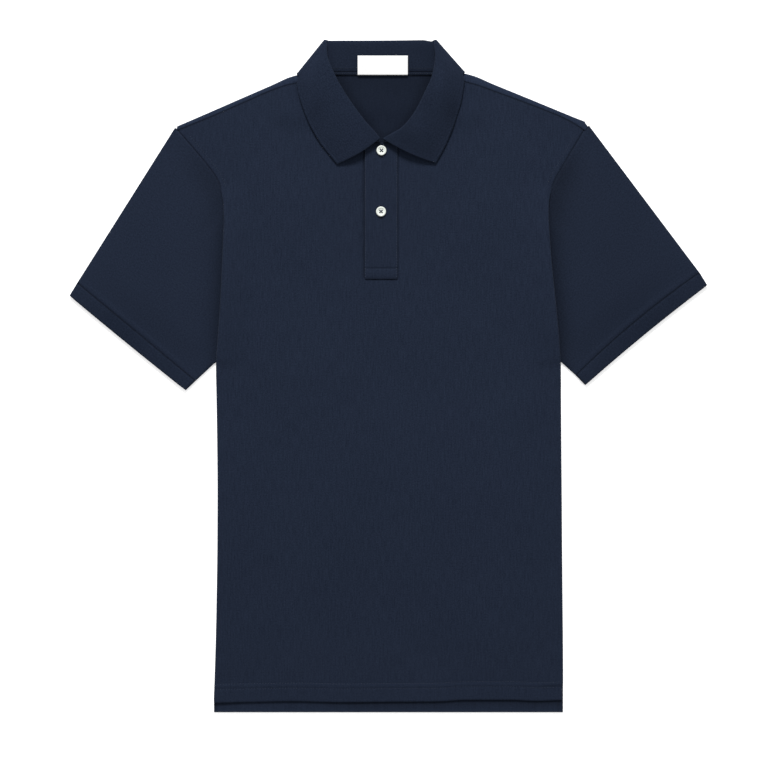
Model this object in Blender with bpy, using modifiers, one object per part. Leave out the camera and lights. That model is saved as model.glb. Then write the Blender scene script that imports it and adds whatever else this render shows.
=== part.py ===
"""Polo shirt laid flat on a table, front up, built from the pieces its maker cuts.

Sizes are in millimetres in the tables and are turned into metres where points are made.
X runs across the body, Y runs from the hem to the collar, and Z is up from the table.
The origin is on the table, under the middle of the shirt's outline.
"""

import math

import bmesh
import bpy
from mathutils import Vector

MM = 0.001

# Cloth walls and the air between layers
PIQUE = 1.2          # knitted body and sleeves
RIB = 1.8            # flat-knit collar
CUFF_RIB = 1.6       # flat-knit sleeve bands
BAND = 1.4           # placket bands, two layers pressed together
TAPE = 0.8           # neck tape and label
AIR = 0.8            # between the front and the back as they lie
SEAM = 0.3           # gap kept between pieces that are sewn together
SLEEVE_SEAM = 0.5    # the same gap measured along X, because the armhole slants

BACK_Z = PIQUE / 2                  # middle of the back's wall
FRONT_Z = PIQUE + AIR + PIQUE / 2   # middle of the front's wall
FRONT_TOP = FRONT_Z + PIQUE / 2

UNDERARM_Y = 17.0
ARMHOLE_TOP_Y = 280.0
SHOULDER_ROLL = 1.0    # radius in Y of the fold where the back comes over the shoulder
EDGE_ROLL = 1.6        # radius in X of the fold along the body's sides
CREST_FADE = 40.0      # distance over which the edge's crest falls to the flat

# Outline of the body: the side seams, then the armholes from the underarm row up
BODY_EDGE = (
    # y, left x, right x
    (-383.5, -199.1, 199.3),
    (-371.0, -199.1, 199.3),
    (-300.0, -196.9, 199.1),
    (-190.0, -195.1, 198.1),
    (-70.0, -195.4, 197.2),
    (-20.0, -195.7, 196.9),
    (8.0, -195.8, 196.8),
    (22.0, -195.6, 196.3),
    (40.0, -194.5, 194.9),
    (97.0, -190.8, 189.4),
    (130.0, -189.3, 186.1),
    (174.0, -187.6, 183.2),
    (198.0, -188.6, 183.4),
    (207.0, -190.0, 184.6),
    (216.0, -192.2, 187.4),
    (226.0, -196.6, 191.8),
    (260.0, -223.3, 211.4),
    (280.0, -240.7, 223.6),
)

# How the body's edge folds down: over nothing at the sides, over the sleeve at the armhole,
# and flush with the sleeve along the sewn upper armhole
EDGE_FOLD = (
    # y, z where the front's edge ends, z of its crest, z where the back's edge ends
    (-383.5, 2.5, 3.4, 1.4),
    (8.0, 2.5, 3.4, 1.4),
    (22.0, 4.0, 5.4, 0.6),
    (97.0, 4.0, 6.2, 0.6),
    (174.0, 4.0, 5.6, 0.6),
    (198.0, 4.0, 5.0, 0.6),
    (216.0, 2.6, 2.6, 0.6),
    (280.0, 2.6, 2.6, 0.6),
)

# Shoulders: the back folds over at the outer line and meets the front at the seam
SHOULDERS = (
    # x, y of the fold, y of the forward seam
    (-240.7, 285.0, 280.0),
    (-200.0, 302.6, 297.0),
    (-165.0, 317.9, 312.2),
    (-130.0, 333.0, 327.4),
    (-109.5, 341.6, 334.0),
    (-89.0, 345.6, 337.0),
    (73.0, 347.0, 338.5),
    (93.7, 343.2, 335.0),
    (118.0, 333.6, 326.6),
    (150.0, 320.6, 315.0),
    (185.0, 306.2, 300.6),
    (223.6, 290.3, 280.0),
)
NECK_CORNER_X = (-89.0, 73.0)
BACK_NECK_Y = 344.6
BACK_NECK_MARGIN = 8.0      # from the last full row to the back's neck edge
SHOULDER_COLUMNS_LEFT = (-200.0, -165.0, -130.0, -109.5)
SHOULDER_COLUMNS_RIGHT = (93.7, 118.0, 150.0, 185.0)
BACK_NECK_COLUMNS = (-89.0, -55.0, -20.0, 20.0, 45.0, 73.0)
EDGE_STEPS = (12.0, 30.0)   # further columns in from the body's edge

# The back and front lift near the neck, where the collar's fall passes under the back
NECK_LIFT = 2.1
NECK_CENTRE = (-8.4, 335.0)
LIFT_FROM_Y = 284.0
LIFT_OVER_Y = 26.0
LIFT_HALF_WIDTH = 135.0
LIFT_FADE_X = 28.0
FRONT_LIFT_AHEAD = 8.0   # the front starts to lift this much lower than the back

# Collar leaves, one row for each section from the front end up to the neck's side
LEAF_LEFT = (
    # neck x, y, z | fold x, y, z | outer edge x, y, z
    (-10.5, 267.6, 4.6, -9.4, 270.9, 8.6, -58.3, 241.8, 5.0),
    (-20.5, 271.0, 4.6, -16.3, 279.3, 9.2, -67.5, 253.2, 5.0),
    (-31.5, 275.8, 3.4, -23.7, 287.2, 9.6, -77.7, 266.4, 5.1),
    (-54.0, 289.5, 4.0, -37.7, 305.1, 10.0, -90.2, 288.6, 6.0),
    (-72.5, 308.0, 5.1, -51.5, 325.9, 9.8, -98.5, 309.4, 7.2),
    (-82.3, 324.0, 5.3, -62.6, 346.7, 9.2, -102.6, 325.5, 7.6),
    (-87.2, 335.0, 5.3, -69.6, 366.1, 8.0, -103.6, 334.5, 7.6),
)
LEAF_RIGHT = (
    (-5.7, 267.6, 4.6, -6.4, 270.5, 8.4, 53.7, 242.9, 5.0),
    (5.5, 271.2, 4.6, 4.0, 276.3, 9.0, 60.0, 253.8, 5.0),
    (17.5, 276.3, 3.4, 13.5, 281.6, 9.4, 66.2, 266.2, 5.1),
    (40.0, 291.0, 4.0, 28.0, 298.0, 9.8, 75.8, 290.0, 6.0),
    (57.0, 309.0, 5.1, 41.0, 322.5, 9.6, 82.6, 313.0, 7.4),
    (66.6, 325.0, 5.3, 50.0, 344.0, 9.2, 85.2, 329.0, 7.7),
    (71.2, 335.5, 5.3, 53.2, 364.0, 8.0, 86.0, 336.5, 7.6),
)
# Where the collar wraps from the front round to the back at each side of the neck
WRAP_LEFT = {"neck": (-85.6, 340.5), "fold": (-70.5, 380.0), "edge": (-101.6, 341.8), "out": (-0.746, 0.665)}
WRAP_RIGHT = {"neck": (69.6, 341.6), "fold": (52.0, 380.4), "edge": (84.4, 343.8), "out": (0.707, 0.707)}
WRAP_ANGLES = (0, 35, 65, 90, 115, 145, 180)
WRAP_NECK_SHIFT = 5.6   # the neck edge moves this far in Y, from the front neckline to the back one
WRAP_Z = {"neck": 4.2, "fold": 4.7, "edge": 4.25}
WRAP_RADIUS = {"neck": 1.1, "fold": 2.6, "edge": 3.35}
# Back of the collar: the stand lies above the fall
COLLAR_BACK = (
    # neck x, neck y, fold x, fold y, outer edge x, outer edge y
    (-72.0, 345.6, -57.0, 382.6, -80.0, 329.0),
    (-36.0, 345.6, -32.0, 382.7, -42.0, 325.5),
    (-8.4, 345.6, -8.4, 382.8, -8.4, 325.0),
    (20.0, 345.6, 15.0, 383.0, 26.0, 325.8),
    (56.0, 345.6, 39.0, 383.2, 64.0, 330.0),
)
FOLD_RADIUS = 1.2
LEAF_ARCH = 1.2

# Sleeves, one row each: the top end of the armhole, and the cuff seam and hem from underarm to top
SLEEVES = {
    "left": {
        "side": -1,
        "armhole_start": (-196.2, 17.2),
        "armhole_end": (-243.2, 283.0),
        "seam": ((-220.6, -5.6), (-354.8, 105.9)),
        "hem": ((-231.4, -15.9), (-363.4, 91.6)),
        "bow": 0.0,
    },
    "right": {
        "side": 1,
        "armhole_start": (197.1, 16.4),
        "armhole_end": (228.6, 285.6),
        "seam": ((214.3, 0.8), (354.8, 117.6)),
        "hem": ((225.2, -10.4), (363.2, 103.0)),
        "bow": 4.0,
    },
}
SLEEVE_UNDERLAP = 7.0                         # sleeve that runs on under the body's folded edge
UNDERLAP_RANGE = (30.0, 55.0, 178.0, 197.0)   # y: none, full, full, none
SLEEVE_STEPS = (0.0, 0.05, 0.2, 0.4, 0.6, 0.8, 1.0)
CUFF_STEPS = (0.0, 0.5, 1.0)
CUFF_SHARES = (0.0, 0.15, 0.32, 0.5, 0.68, 0.85, 1.0)
TURN_ANGLES = (30, 60, 90, 120, 150)          # points round a flattened tube's edge

# Placket
PLACKET = {"left": -27.3, "right": 11.0, "bottom": 110.3}
SLOT = {"left": -23.5, "right": 8.0, "bottom": 112.5}
BUTTON_CENTRES = {"upper": (-7.9, 257.0), "lower": (-8.4, 187.4)}
BUTTON_RADIUS = 5.7
BUTTON_HEIGHT = 2.4
BUTTON_HOLE_RADIUS = 0.75
BUTTON_HOLE_SPACING = 1.25

NECK_TAPE = {"left": -70.0, "right": 54.0, "bottom": 342.6, "top": 346.6, "z": 4.8}
LABEL = {"left": -35.4, "right": 22.5, "bottom": 342.5, "top": 365.3, "z": 5.9}

NAVY = (0.0172, 0.0236, 0.0415)
NAVY_RIB = (0.0150, 0.0205, 0.0365)
PEARL = (0.72, 0.70, 0.68)
WHITE = (0.80, 0.80, 0.79)


# ---------------------------------------------------------------- small helpers

def smooth(share):
    """Ease from 0 to 1 as share goes from 0 to 1."""
    share = min(max(share, 0.0), 1.0)
    return share * share * (3.0 - 2.0 * share)


def blend(low, high, share):
    return low + (high - low) * share


def read_table(rows, at, column):
    """Read a column of a table whose first column rises, straight between its rows."""
    if at <= rows[0][0]:
        return rows[0][column]
    for low, high in zip(rows, rows[1:]):
        if at <= high[0]:
            return blend(low[column], high[column], (at - low[0]) / (high[0] - low[0]))
    return rows[-1][column]


def neck_lift(x, y):
    """How far the body's layers lie above their usual level, over the collar's fall."""
    along = smooth((y - LIFT_FROM_Y) / LIFT_OVER_Y)
    across = smooth((LIFT_HALF_WIDTH - abs(x - NECK_CENTRE[0])) / LIFT_FADE_X)
    return NECK_LIFT * along * across


def material(name, colour, roughness):
    made = bpy.data.materials.new(name)
    made.use_nodes = True
    shader = made.node_tree.nodes["Principled BSDF"]
    shader.inputs["Base Color"].default_value = (*colour, 1.0)
    shader.inputs["Roughness"].default_value = roughness
    made.diffuse_color = (*colour, 1.0)
    return made


def new_collection(name):
    made = bpy.data.collections.new(name)
    bpy.context.scene.collection.children.link(made)
    return made


def add_object(name, mesh, collection, finish=None):
    made = bpy.data.objects.new(name, mesh)
    collection.objects.link(made)
    if finish is not None:
        mesh.materials.append(finish)
    return made


def sheet_from_rows(name, rows, thickness, collection, finish, ring=False):
    """A cloth wall through rows of points (mm); None leaves a place open; ring closes each row."""
    cloth = bmesh.new()
    made = [[None if p is None else cloth.verts.new(Vector(p) * MM) for p in row] for row in rows]
    width = len(rows[0])
    last = width if ring else width - 1
    for low, high in zip(made, made[1:]):
        for column in range(last):
            beside = (column + 1) % width
            corners = (low[column], low[beside], high[beside], high[column])
            if all(corners):
                cloth.faces.new(corners)
    mesh = bpy.data.meshes.new(name)
    cloth.to_mesh(mesh)
    cloth.free()
    piece = add_object(name, mesh, collection, finish)
    wall = piece.modifiers.new("wall", "SOLIDIFY")
    wall.thickness = thickness * MM
    wall.offset = 0.0
    wall.use_even_offset = True
    mesh.shade_smooth()
    mesh.set_sharp_from_angle(angle=math.radians(40))
    return piece


# ---------------------------------------------------------------- front and back

def across_row(y, columns):
    """X places of one row: the folded edge, a few steps in, the columns, and the same on the right."""
    left = read_table(BODY_EDGE, y, 1)
    right = read_table(BODY_EDGE, y, 2)
    top_left = BODY_EDGE[-1][1]
    top_right = BODY_EDGE[-1][2]
    steps = [PIQUE / 2 + EDGE_ROLL * (1 - math.cos(math.radians(a))) for a in (0, 45, 90)]
    steps += EDGE_STEPS
    middle = [blend(left, right, (c - top_left) / (top_right - top_left)) for c in columns]
    return [left + s for s in steps] + middle + [right - s for s in reversed(steps)]


def edge_distance(x, y):
    return min(x - read_table(BODY_EDGE, y, 1), read_table(BODY_EDGE, y, 2) - x) - PIQUE / 2


def folded_edge_z(x, y, end_z, crest_z, flat_z):
    """Height of a wall near the body's edge: a quarter round, then a slow fall to the flat."""
    inwards = edge_distance(x, y)
    if inwards < EDGE_ROLL:
        turn = math.acos(min(max(1.0 - inwards / EDGE_ROLL, -1.0), 1.0))
        return end_z + (crest_z - end_z) * math.sin(turn)
    fade = smooth((inwards - EDGE_ROLL) / CREST_FADE)
    return blend(crest_z, flat_z, fade)


def panel_row(row_y, columns, top_y_of):
    """One row of a body panel; above the underarm its middle bends up to follow the top edge."""
    share = max(0.0, (row_y - UNDERARM_Y) / (ARMHOLE_TOP_Y - UNDERARM_Y))
    across = across_row(row_y, columns)
    across_top = across_row(ARMHOLE_TOP_Y, columns)
    return [
        (x, row_y + share * (top_y_of(x_top) - ARMHOLE_TOP_Y))
        for x, x_top in zip(across, across_top)
    ]


def neckline():
    """The front's neck edge from the left neck corner round to the right one, just outside the collar."""
    centre = Vector(NECK_CENTRE)
    points = []
    for row in list(reversed(LEAF_LEFT[:-1])) + list(LEAF_RIGHT[:-1]):
        place = Vector(row[:2])
        points.append(tuple(place + (place - centre).normalized() * (2 * SEAM)))
    left, right = NECK_CORNER_X
    return [(left, read_table(SHOULDERS, left, 2))] + points + [(right, read_table(SHOULDERS, right, 2))]


def build_front(collection, cutters, finish):
    neck = neckline()
    neck_left, neck_right = NECK_CORNER_X

    def top_y(x):
        if neck_left < x < neck_right:
            return read_table(neck, x, 1)
        return read_table(SHOULDERS, x, 2)

    columns = SHOULDER_COLUMNS_LEFT + tuple(p[0] for p in neck) + SHOULDER_COLUMNS_RIGHT
    rows = []
    for row in BODY_EDGE[1:]:
        row_y = row[0]
        end_z = read_table(EDGE_FOLD, row_y, 1)
        crest_z = read_table(EDGE_FOLD, row_y, 2)
        flat = panel_row(row_y, columns, top_y)
        across = across_row(row_y, columns)
        rows.append([
            (x, y, folded_edge_z(x0, row_y, end_z, crest_z, FRONT_Z) + neck_lift(x, y + FRONT_LIFT_AHEAD))
            for (x, y), x0 in zip(flat, across)
        ])
    front = sheet_from_rows("front", rows, PIQUE, collection, finish)
    slot_top = 300.0
    slot = box("placket_slot", (SLOT["left"], SLOT["bottom"], -5.0), (SLOT["right"], slot_top, 12.0), cutters)
    slot.hide_render = True
    slot.display_type = "WIRE"
    cut = front.modifiers.new("placket slot", "BOOLEAN")
    cut.operation = "DIFFERENCE"
    cut.solver = "EXACT"
    cut.object = slot
    return front


def build_back(collection, finish):
    neck_left, neck_right = NECK_CORNER_X

    def is_neck(x):
        return neck_left < x < neck_right

    def top_y(x):
        if is_neck(x):
            return BACK_NECK_Y - BACK_NECK_MARGIN
        return read_table(SHOULDERS, x, 2)

    columns = SHOULDER_COLUMNS_LEFT + BACK_NECK_COLUMNS + SHOULDER_COLUMNS_RIGHT
    rows = []
    for row in BODY_EDGE:
        row_y = row[0]
        end_z = read_table(EDGE_FOLD, row_y, 3)
        flat = panel_row(row_y, columns, top_y)
        across = across_row(row_y, columns)
        placed = []
        for (x, y), x0 in zip(flat, across):
            inwards = edge_distance(x0, row_y)
            curl = end_z - BACK_Z
            turn = math.acos(min(max(1.0 - inwards / EDGE_ROLL, 0.0), 1.0))
            placed.append((x, y, BACK_Z + curl * (1.0 - math.sin(turn)) + neck_lift(x, y)))
        rows.append(placed)

    top_x = across_row(ARMHOLE_TOP_Y, columns)
    under = []
    for x in top_x:
        y = BACK_NECK_Y if is_neck(x) else read_table(SHOULDERS, x, 1) - PIQUE / 2 - SHOULDER_ROLL
        under.append((x, y, BACK_Z + neck_lift(x, y)))
    rows.append(under)
    half = (FRONT_Z - BACK_Z) / 2
    for angle in (60, 120, 180):
        turn = math.radians(angle)
        fold = []
        for x, y, z in under:
            place = (x, y + SHOULDER_ROLL * math.sin(turn), z + half * (1 - math.cos(turn)))
            fold.append(None if is_neck(x) else place)
        rows.append(fold)
    strip = []
    for x in top_x:
        y = read_table(SHOULDERS, x, 2) + SEAM
        strip.append(None if is_neck(x) else (x, y, FRONT_Z + neck_lift(x, y)))
    rows.append(strip)
    return sheet_from_rows("back", rows, PIQUE, collection, finish)


# ---------------------------------------------------------------- sleeves and their bands

def armhole_points(sleeve, underlap):
    """The sleeve's armhole edge from the underarm to the shoulder, beside the body's edge."""
    column = 1 if sleeve["side"] < 0 else 2
    points = [sleeve["armhole_start"]]
    none_low, full_low, full_high, none_high = UNDERLAP_RANGE
    for row in BODY_EDGE:
        y = row[0]
        if y > UNDERARM_Y:
            lap = smooth((y - none_low) / (full_low - none_low))
            lap *= smooth((none_high - y) / (none_high - full_high))
            points.append((row[column] + sleeve["side"] * (SLEEVE_SEAM - underlap * lap), y))
    points.append(sleeve["armhole_end"])
    return [Vector(p) for p in points]


def shares_along(points):
    """Each point's share of the way along its line."""
    lengths = [(b - a).length for a, b in zip(points, points[1:])]
    total = sum(lengths)
    return [sum(lengths[:i]) / total for i in range(len(points))]


def bowed_line(ends, bow, share):
    """A point on a line between two ends, bowed to the sleeve's side by a few millimetres."""
    start, end = Vector(ends[0]), Vector(ends[1])
    along = (end - start).normalized()
    upwards = Vector((-along.y, along.x)) if along.x < 0 else Vector((along.y, -along.x))
    if upwards.y < 0:
        upwards.negate()
    return start.lerp(end, share) + upwards * (bow * 4.0 * share * (1.0 - share))


def flat_ring(top, bottom, low_out, high_out, wall, low_z, high_z):
    """A flattened tube's ring: the top layer, round the far edge, the bottom layer, round the near edge."""
    radius = (high_z - low_z) / 2
    middle = (high_z + low_z) / 2
    inset = radius + wall / 2
    ring = []

    def shifted(points):
        moved = [p.copy() for p in points]
        moved[0] = points[0] - low_out * inset
        moved[-1] = points[-1] - high_out * inset
        return moved

    upper = shifted(top)
    lower = shifted(bottom)
    ring += [(p.x, p.y, high_z) for p in upper]
    for angle in TURN_ANGLES:
        turn = math.radians(angle)
        place = upper[-1].lerp(lower[-1], angle / 180.0) + high_out * (radius * math.sin(turn))
        ring.append((place.x, place.y, middle + radius * math.cos(turn)))
    ring += [(p.x, p.y, low_z) for p in reversed(lower)]
    for angle in TURN_ANGLES:
        turn = math.radians(angle)
        place = lower[0].lerp(upper[0], angle / 180.0) + low_out * (radius * math.sin(turn))
        ring.append((place.x, place.y, middle - radius * math.cos(turn)))
    return ring


def outward(edge_start, edge_end, inside):
    """Unit vector square to an edge, pointing away from a point inside."""
    along = (edge_end - edge_start).normalized()
    away = Vector((-along.y, along.x))
    if away.dot(inside - edge_start) > 0:
        away.negate()
    return away


def build_sleeve(name, sleeve, collection, finish):
    top_edge = armhole_points(sleeve, SLEEVE_UNDERLAP)
    bottom_edge = armhole_points(sleeve, 0.0)
    shares = shares_along(bottom_edge)
    seam = [bowed_line(sleeve["seam"], sleeve["bow"], s) for s in shares]
    middle = seam[len(seam) // 2]
    low_out = outward(bottom_edge[0], seam[0], middle)
    high_out = outward(bottom_edge[-1], seam[-1], middle)
    rings = []
    for step in SLEEVE_STEPS:
        top = [a.lerp(b, step) for a, b in zip(top_edge, seam)]
        bottom = [a.lerp(b, step) for a, b in zip(bottom_edge, seam)]
        rings.append(flat_ring(top, bottom, low_out, high_out, PIQUE, BACK_Z, FRONT_Z))
    return sheet_from_rows(name, rings, PIQUE, collection, finish, ring=True)


def build_cuff(name, sleeve, collection, finish):
    low_z = CUFF_RIB / 2
    high_z = CUFF_RIB + AIR + CUFF_RIB / 2
    seam = [bowed_line(sleeve["seam"], sleeve["bow"], s) for s in CUFF_SHARES]
    hem = [bowed_line(sleeve["hem"], 0.0, s) for s in CUFF_SHARES]
    start = [a + (b - a).normalized() * 2 * SEAM for a, b in zip(seam, hem)]
    low_out = outward(seam[0], hem[0], seam[-1])
    high_out = outward(seam[-1], hem[-1], seam[0])
    rings = []
    for step in CUFF_STEPS:
        line = [a.lerp(b, step) for a, b in zip(start, hem)]
        rings.append(flat_ring(line, line, low_out, high_out, CUFF_RIB, low_z, high_z))
    return sheet_from_rows(name, rings, CUFF_RIB, collection, finish, ring=True)


# ---------------------------------------------------------------- collar

def collar_section(neck, fold, edge, turn, out, arch):
    """A hairpin from the neck edge over the fold to the outer edge; turn tips it round the neck's side."""
    apart = Vector((math.sin(turn) * out[0], math.sin(turn) * out[1], math.cos(turn)))
    away = -((neck - fold).normalized() + (edge - fold).normalized())
    away -= away.dot(apart) * apart
    away.normalize()
    centre = fold - away * (FOLD_RADIUS + RIB / 2)
    points = []
    stand_end = centre - apart * FOLD_RADIUS
    for share in (0.0, 0.33, 0.67):
        points.append(neck.lerp(stand_end, share))
    for angle in (-90, -45, 0, 45, 90):
        bend = math.radians(angle)
        points.append(centre + (apart * math.sin(bend) + away * math.cos(bend)) * FOLD_RADIUS)
    fall_start = centre + apart * FOLD_RADIUS
    for share in (0.2, 0.4, 0.6, 0.8, 1.0):
        place = fall_start.lerp(edge, share)
        points.append(place + apart * (arch * math.sin(math.pi * share)))
    return [tuple(p) for p in points]


def wrap_sections(wrap):
    """Sections where the collar passes the side of the neck, from lying above to lying below."""
    sections = []
    out = Vector((*wrap["out"], 0.0))
    for angle in WRAP_ANGLES:
        turn = math.radians(angle)
        lifted = Vector((0, 0, 1)) * math.cos(turn) + out * math.sin(turn)
        corners = []
        for part in ("neck", "fold", "edge"):
            base = Vector((*wrap[part], WRAP_Z[part]))
            corners.append(base + lifted * WRAP_RADIUS[part])
        corners[0].y += WRAP_NECK_SHIFT * angle / 180.0
        sections.append(collar_section(*corners, turn, wrap["out"], 0.0))
    return sections


def leaf_sections(rows, out):
    sections = []
    for row in rows:
        neck, fold, edge = Vector(row[0:3]), Vector(row[3:6]), Vector(row[6:9])
        sections.append(collar_section(neck, fold, edge, 0.0, out, LEAF_ARCH))
    return sections


def build_collar(collection, finish):
    fall_z = RIB / 2
    stand_z = fall_z + 2 * FOLD_RADIUS
    fold_z = (fall_z + stand_z) / 2
    back = []
    for neck_x, neck_y, fold_x, fold_y, edge_x, edge_y in COLLAR_BACK:
        neck = Vector((neck_x, neck_y, WRAP_Z["neck"] - WRAP_RADIUS["neck"]))
        fold = Vector((fold_x, fold_y, fold_z))
        edge = Vector((edge_x, edge_y, fall_z))
        back.append(collar_section(neck, fold, edge, math.pi, (0.0, 1.0), 0.0))
    left = leaf_sections(LEAF_LEFT, WRAP_LEFT["out"]) + wrap_sections(WRAP_LEFT)
    right = leaf_sections(LEAF_RIGHT, WRAP_RIGHT["out"]) + wrap_sections(WRAP_RIGHT)
    return sheet_from_rows("collar", left + back + right[::-1], RIB, collection, finish)


# ---------------------------------------------------------------- placket, trim and buttons

def neck_edge_y(x):
    return read_table(neckline(), x, 1)


def build_band(name, left, right, bottom, z, thickness, collection, finish):
    """A placket band: a strip whose top follows the neckline."""
    columns = [left, left + 4.0, -10.9, -5.4, right - 4.0, right]
    heights = [bottom, bottom + 14.0, 150.0, 190.0, 230.0]
    rows = [[(x, y, z) for x in columns] for y in heights]
    rows.append([(x, neck_edge_y(x) - 2 * SEAM, z) for x in columns])
    return sheet_from_rows(name, rows, thickness, collection, finish)


def flat_strip(name, sizes, collection, finish):
    rows = []
    for y in (sizes["bottom"], sizes["top"]):
        rows.append([(x, y, sizes["z"]) for x in (sizes["left"], sizes["right"])])
    return sheet_from_rows(name, rows, TAPE, collection, finish)


def box(name, low, high, collection):
    made = bmesh.new()
    bmesh.ops.create_cube(made, size=1.0)
    low, high = Vector(low) * MM, Vector(high) * MM
    size = high - low
    for corner in made.verts:
        corner.co = Vector([low[i] + (corner.co[i] + 0.5) * size[i] for i in range(3)])
    mesh = bpy.data.meshes.new(name)
    made.to_mesh(mesh)
    made.free()
    return add_object(name, mesh, collection)


def button_profile():
    """Half section of a button, top to bottom on the outer side: rim, dished face, flat underside."""
    rim = BUTTON_RADIUS
    return (
        (0.0, BUTTON_HEIGHT - 0.7),
        (rim - 2.0, BUTTON_HEIGHT - 0.7),
        (rim - 1.4, BUTTON_HEIGHT - 0.15),
        (rim - 0.7, BUTTON_HEIGHT),
        (rim - 0.15, BUTTON_HEIGHT - 0.5),
        (rim, BUTTON_HEIGHT - 1.1),
        (rim - 0.3, 0.4),
        (rim - 1.0, 0.0),
        (0.0, 0.0),
    )


def hole_cutter(collection):
    """Four short rods in one mesh, which cut the button's thread holes."""
    rods = bmesh.new()
    for side_x in (-1, 1):
        for side_y in (-1, 1):
            made = bmesh.ops.create_cone(
                rods, cap_ends=True, segments=12, radius1=BUTTON_HOLE_RADIUS * MM,
                radius2=BUTTON_HOLE_RADIUS * MM, depth=4 * BUTTON_HEIGHT * MM)
            move = Vector((side_x, side_y, 0)) * BUTTON_HOLE_SPACING * MM
            bmesh.ops.translate(rods, verts=made["verts"], vec=move)
    mesh = bpy.data.meshes.new("button_holes")
    rods.to_mesh(mesh)
    rods.free()
    return mesh


def build_button(name, centre, base_z, holes, collection, cutters, finish):
    outline = bmesh.new()
    corners = [outline.verts.new((x * MM, 0.0, z * MM)) for x, z in button_profile()]
    for upper, lower in zip(corners, corners[1:]):
        outline.edges.new((upper, lower))
    mesh = bpy.data.meshes.new(name)
    outline.to_mesh(mesh)
    outline.free()
    button = add_object(name, mesh, collection, finish)
    place = (centre[0] * MM, centre[1] * MM, base_z * MM)
    button.location = place
    turned = button.modifiers.new("turned", "SCREW")
    turned.steps = 28
    turned.render_steps = 28
    turned.use_merge_vertices = True
    turned.merge_threshold = 0.00001
    cutter = add_object(name + "_holes", holes, cutters)
    cutter.location = place
    cutter.hide_render = True
    cutter.display_type = "WIRE"
    cut = button.modifiers.new("thread holes", "BOOLEAN")
    cut.operation = "DIFFERENCE"
    cut.solver = "EXACT"
    cut.object = cutter
    return button


# ---------------------------------------------------------------- the shirt

def build():
    for old in list(bpy.data.objects):
        bpy.data.objects.remove(old, do_unlink=True)
    shirt = new_collection("polo_shirt")
    cutters = new_collection("cutters")
    pique = material("navy_pique", NAVY, 0.9)
    rib = material("navy_rib", NAVY_RIB, 0.92)
    pearl = material("pearl_button", PEARL, 0.25)
    woven = material("white_woven", WHITE, 0.7)

    build_back(shirt, pique)
    build_front(shirt, cutters, pique)
    for side, sleeve in SLEEVES.items():
        build_sleeve("sleeve_" + side, sleeve, shirt, pique)
        build_cuff("cuff_" + side, sleeve, shirt, rib)
    build_collar(shirt, rib)

    band_z = FRONT_TOP + SEAM + BAND / 2
    build_band("placket_under", SLOT["left"] + SEAM, SLOT["right"] - SEAM, SLOT["bottom"] + SEAM,
               FRONT_Z, PIQUE, shirt, pique)
    build_band("placket_top", PLACKET["left"], PLACKET["right"], PLACKET["bottom"],
               band_z, BAND, shirt, pique)
    holes = hole_cutter(cutters)
    for place, centre in BUTTON_CENTRES.items():
        base_z = band_z + BAND / 2 + SEAM
        build_button("button_" + place, centre, base_z, holes, shirt, cutters, pearl)
    flat_strip("neck_tape", NECK_TAPE, shirt, pique)
    flat_strip("label", LABEL, shirt, woven)


build()
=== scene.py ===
"""Looks of the polo shirt, laid flat: cloth shells, stitches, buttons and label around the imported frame.

Sizes in the tables are in millimetres in the part's own frame: X across the body, Y from the hem
to the collar, Z up from the table. They are turned into metres where meshes are made.
"""

import math

import bpy
import numpy as np
from mathutils import Matrix, Vector


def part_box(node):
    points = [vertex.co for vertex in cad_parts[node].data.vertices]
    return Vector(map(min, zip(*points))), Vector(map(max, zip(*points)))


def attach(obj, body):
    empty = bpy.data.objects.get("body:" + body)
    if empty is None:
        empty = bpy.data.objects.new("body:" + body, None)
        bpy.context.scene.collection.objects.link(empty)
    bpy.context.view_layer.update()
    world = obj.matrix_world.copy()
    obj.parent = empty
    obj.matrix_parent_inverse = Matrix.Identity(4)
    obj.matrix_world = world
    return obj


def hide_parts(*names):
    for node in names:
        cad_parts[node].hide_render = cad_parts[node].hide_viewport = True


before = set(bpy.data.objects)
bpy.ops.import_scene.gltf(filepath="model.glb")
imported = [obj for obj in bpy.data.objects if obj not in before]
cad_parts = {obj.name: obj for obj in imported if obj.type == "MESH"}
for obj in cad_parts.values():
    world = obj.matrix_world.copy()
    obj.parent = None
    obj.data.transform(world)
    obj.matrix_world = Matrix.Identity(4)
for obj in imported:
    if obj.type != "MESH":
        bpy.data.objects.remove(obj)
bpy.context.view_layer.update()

MM = 0.001

# ---------------------------------------------------------------- sizes taken from the frame


def box_mm(node):
    """A CAD node's lowest and highest corners in millimetres."""
    low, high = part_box(node)
    return np.array(low) / MM, np.array(high) / MM


FRONT_HEM_Y = box_mm("front")[0][1]
BACK_HEM_Y = box_mm("back")[0][1]
BAND_LOW, BAND_HIGH = box_mm("placket_top")
UNDER_LOW, UNDER_HIGH = box_mm("placket_under")
TAPE_LOW, TAPE_HIGH = box_mm("neck_tape")
TAPE_MIDDLE_Y = (TAPE_LOW[1] + TAPE_HIGH[1]) / 2
LABEL_LOW, LABEL_HIGH = box_mm("label")

# Thickness of each cloth
PIQUE = 1.2
RIB = 1.8
CUFF_RIB = 1.6
CUFF_HOLLOW = 0.8        # the empty space inside a sleeve band
BAND = 1.4
TAPE = 0.8
WOVEN_LABEL = 0.56

# Heights of the middle of each wall, and the gaps at seams
BACK_Z = PIQUE / 2
FRONT_Z = 2.6
BAND_Z = (BAND_LOW[2] + BAND_HIGH[2]) / 2
STAND_Z = 3.1
SEAM = 0.3
SLEEVE_SEAM = 0.5

# How deep and how wide the cloth turns down into each seam
ARMHOLE_DIP = (0.9, 0.9)
SHOULDER_DIP = (0.5, 0.9)
STRIP_DIP = (0.3, 0.6)

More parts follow.
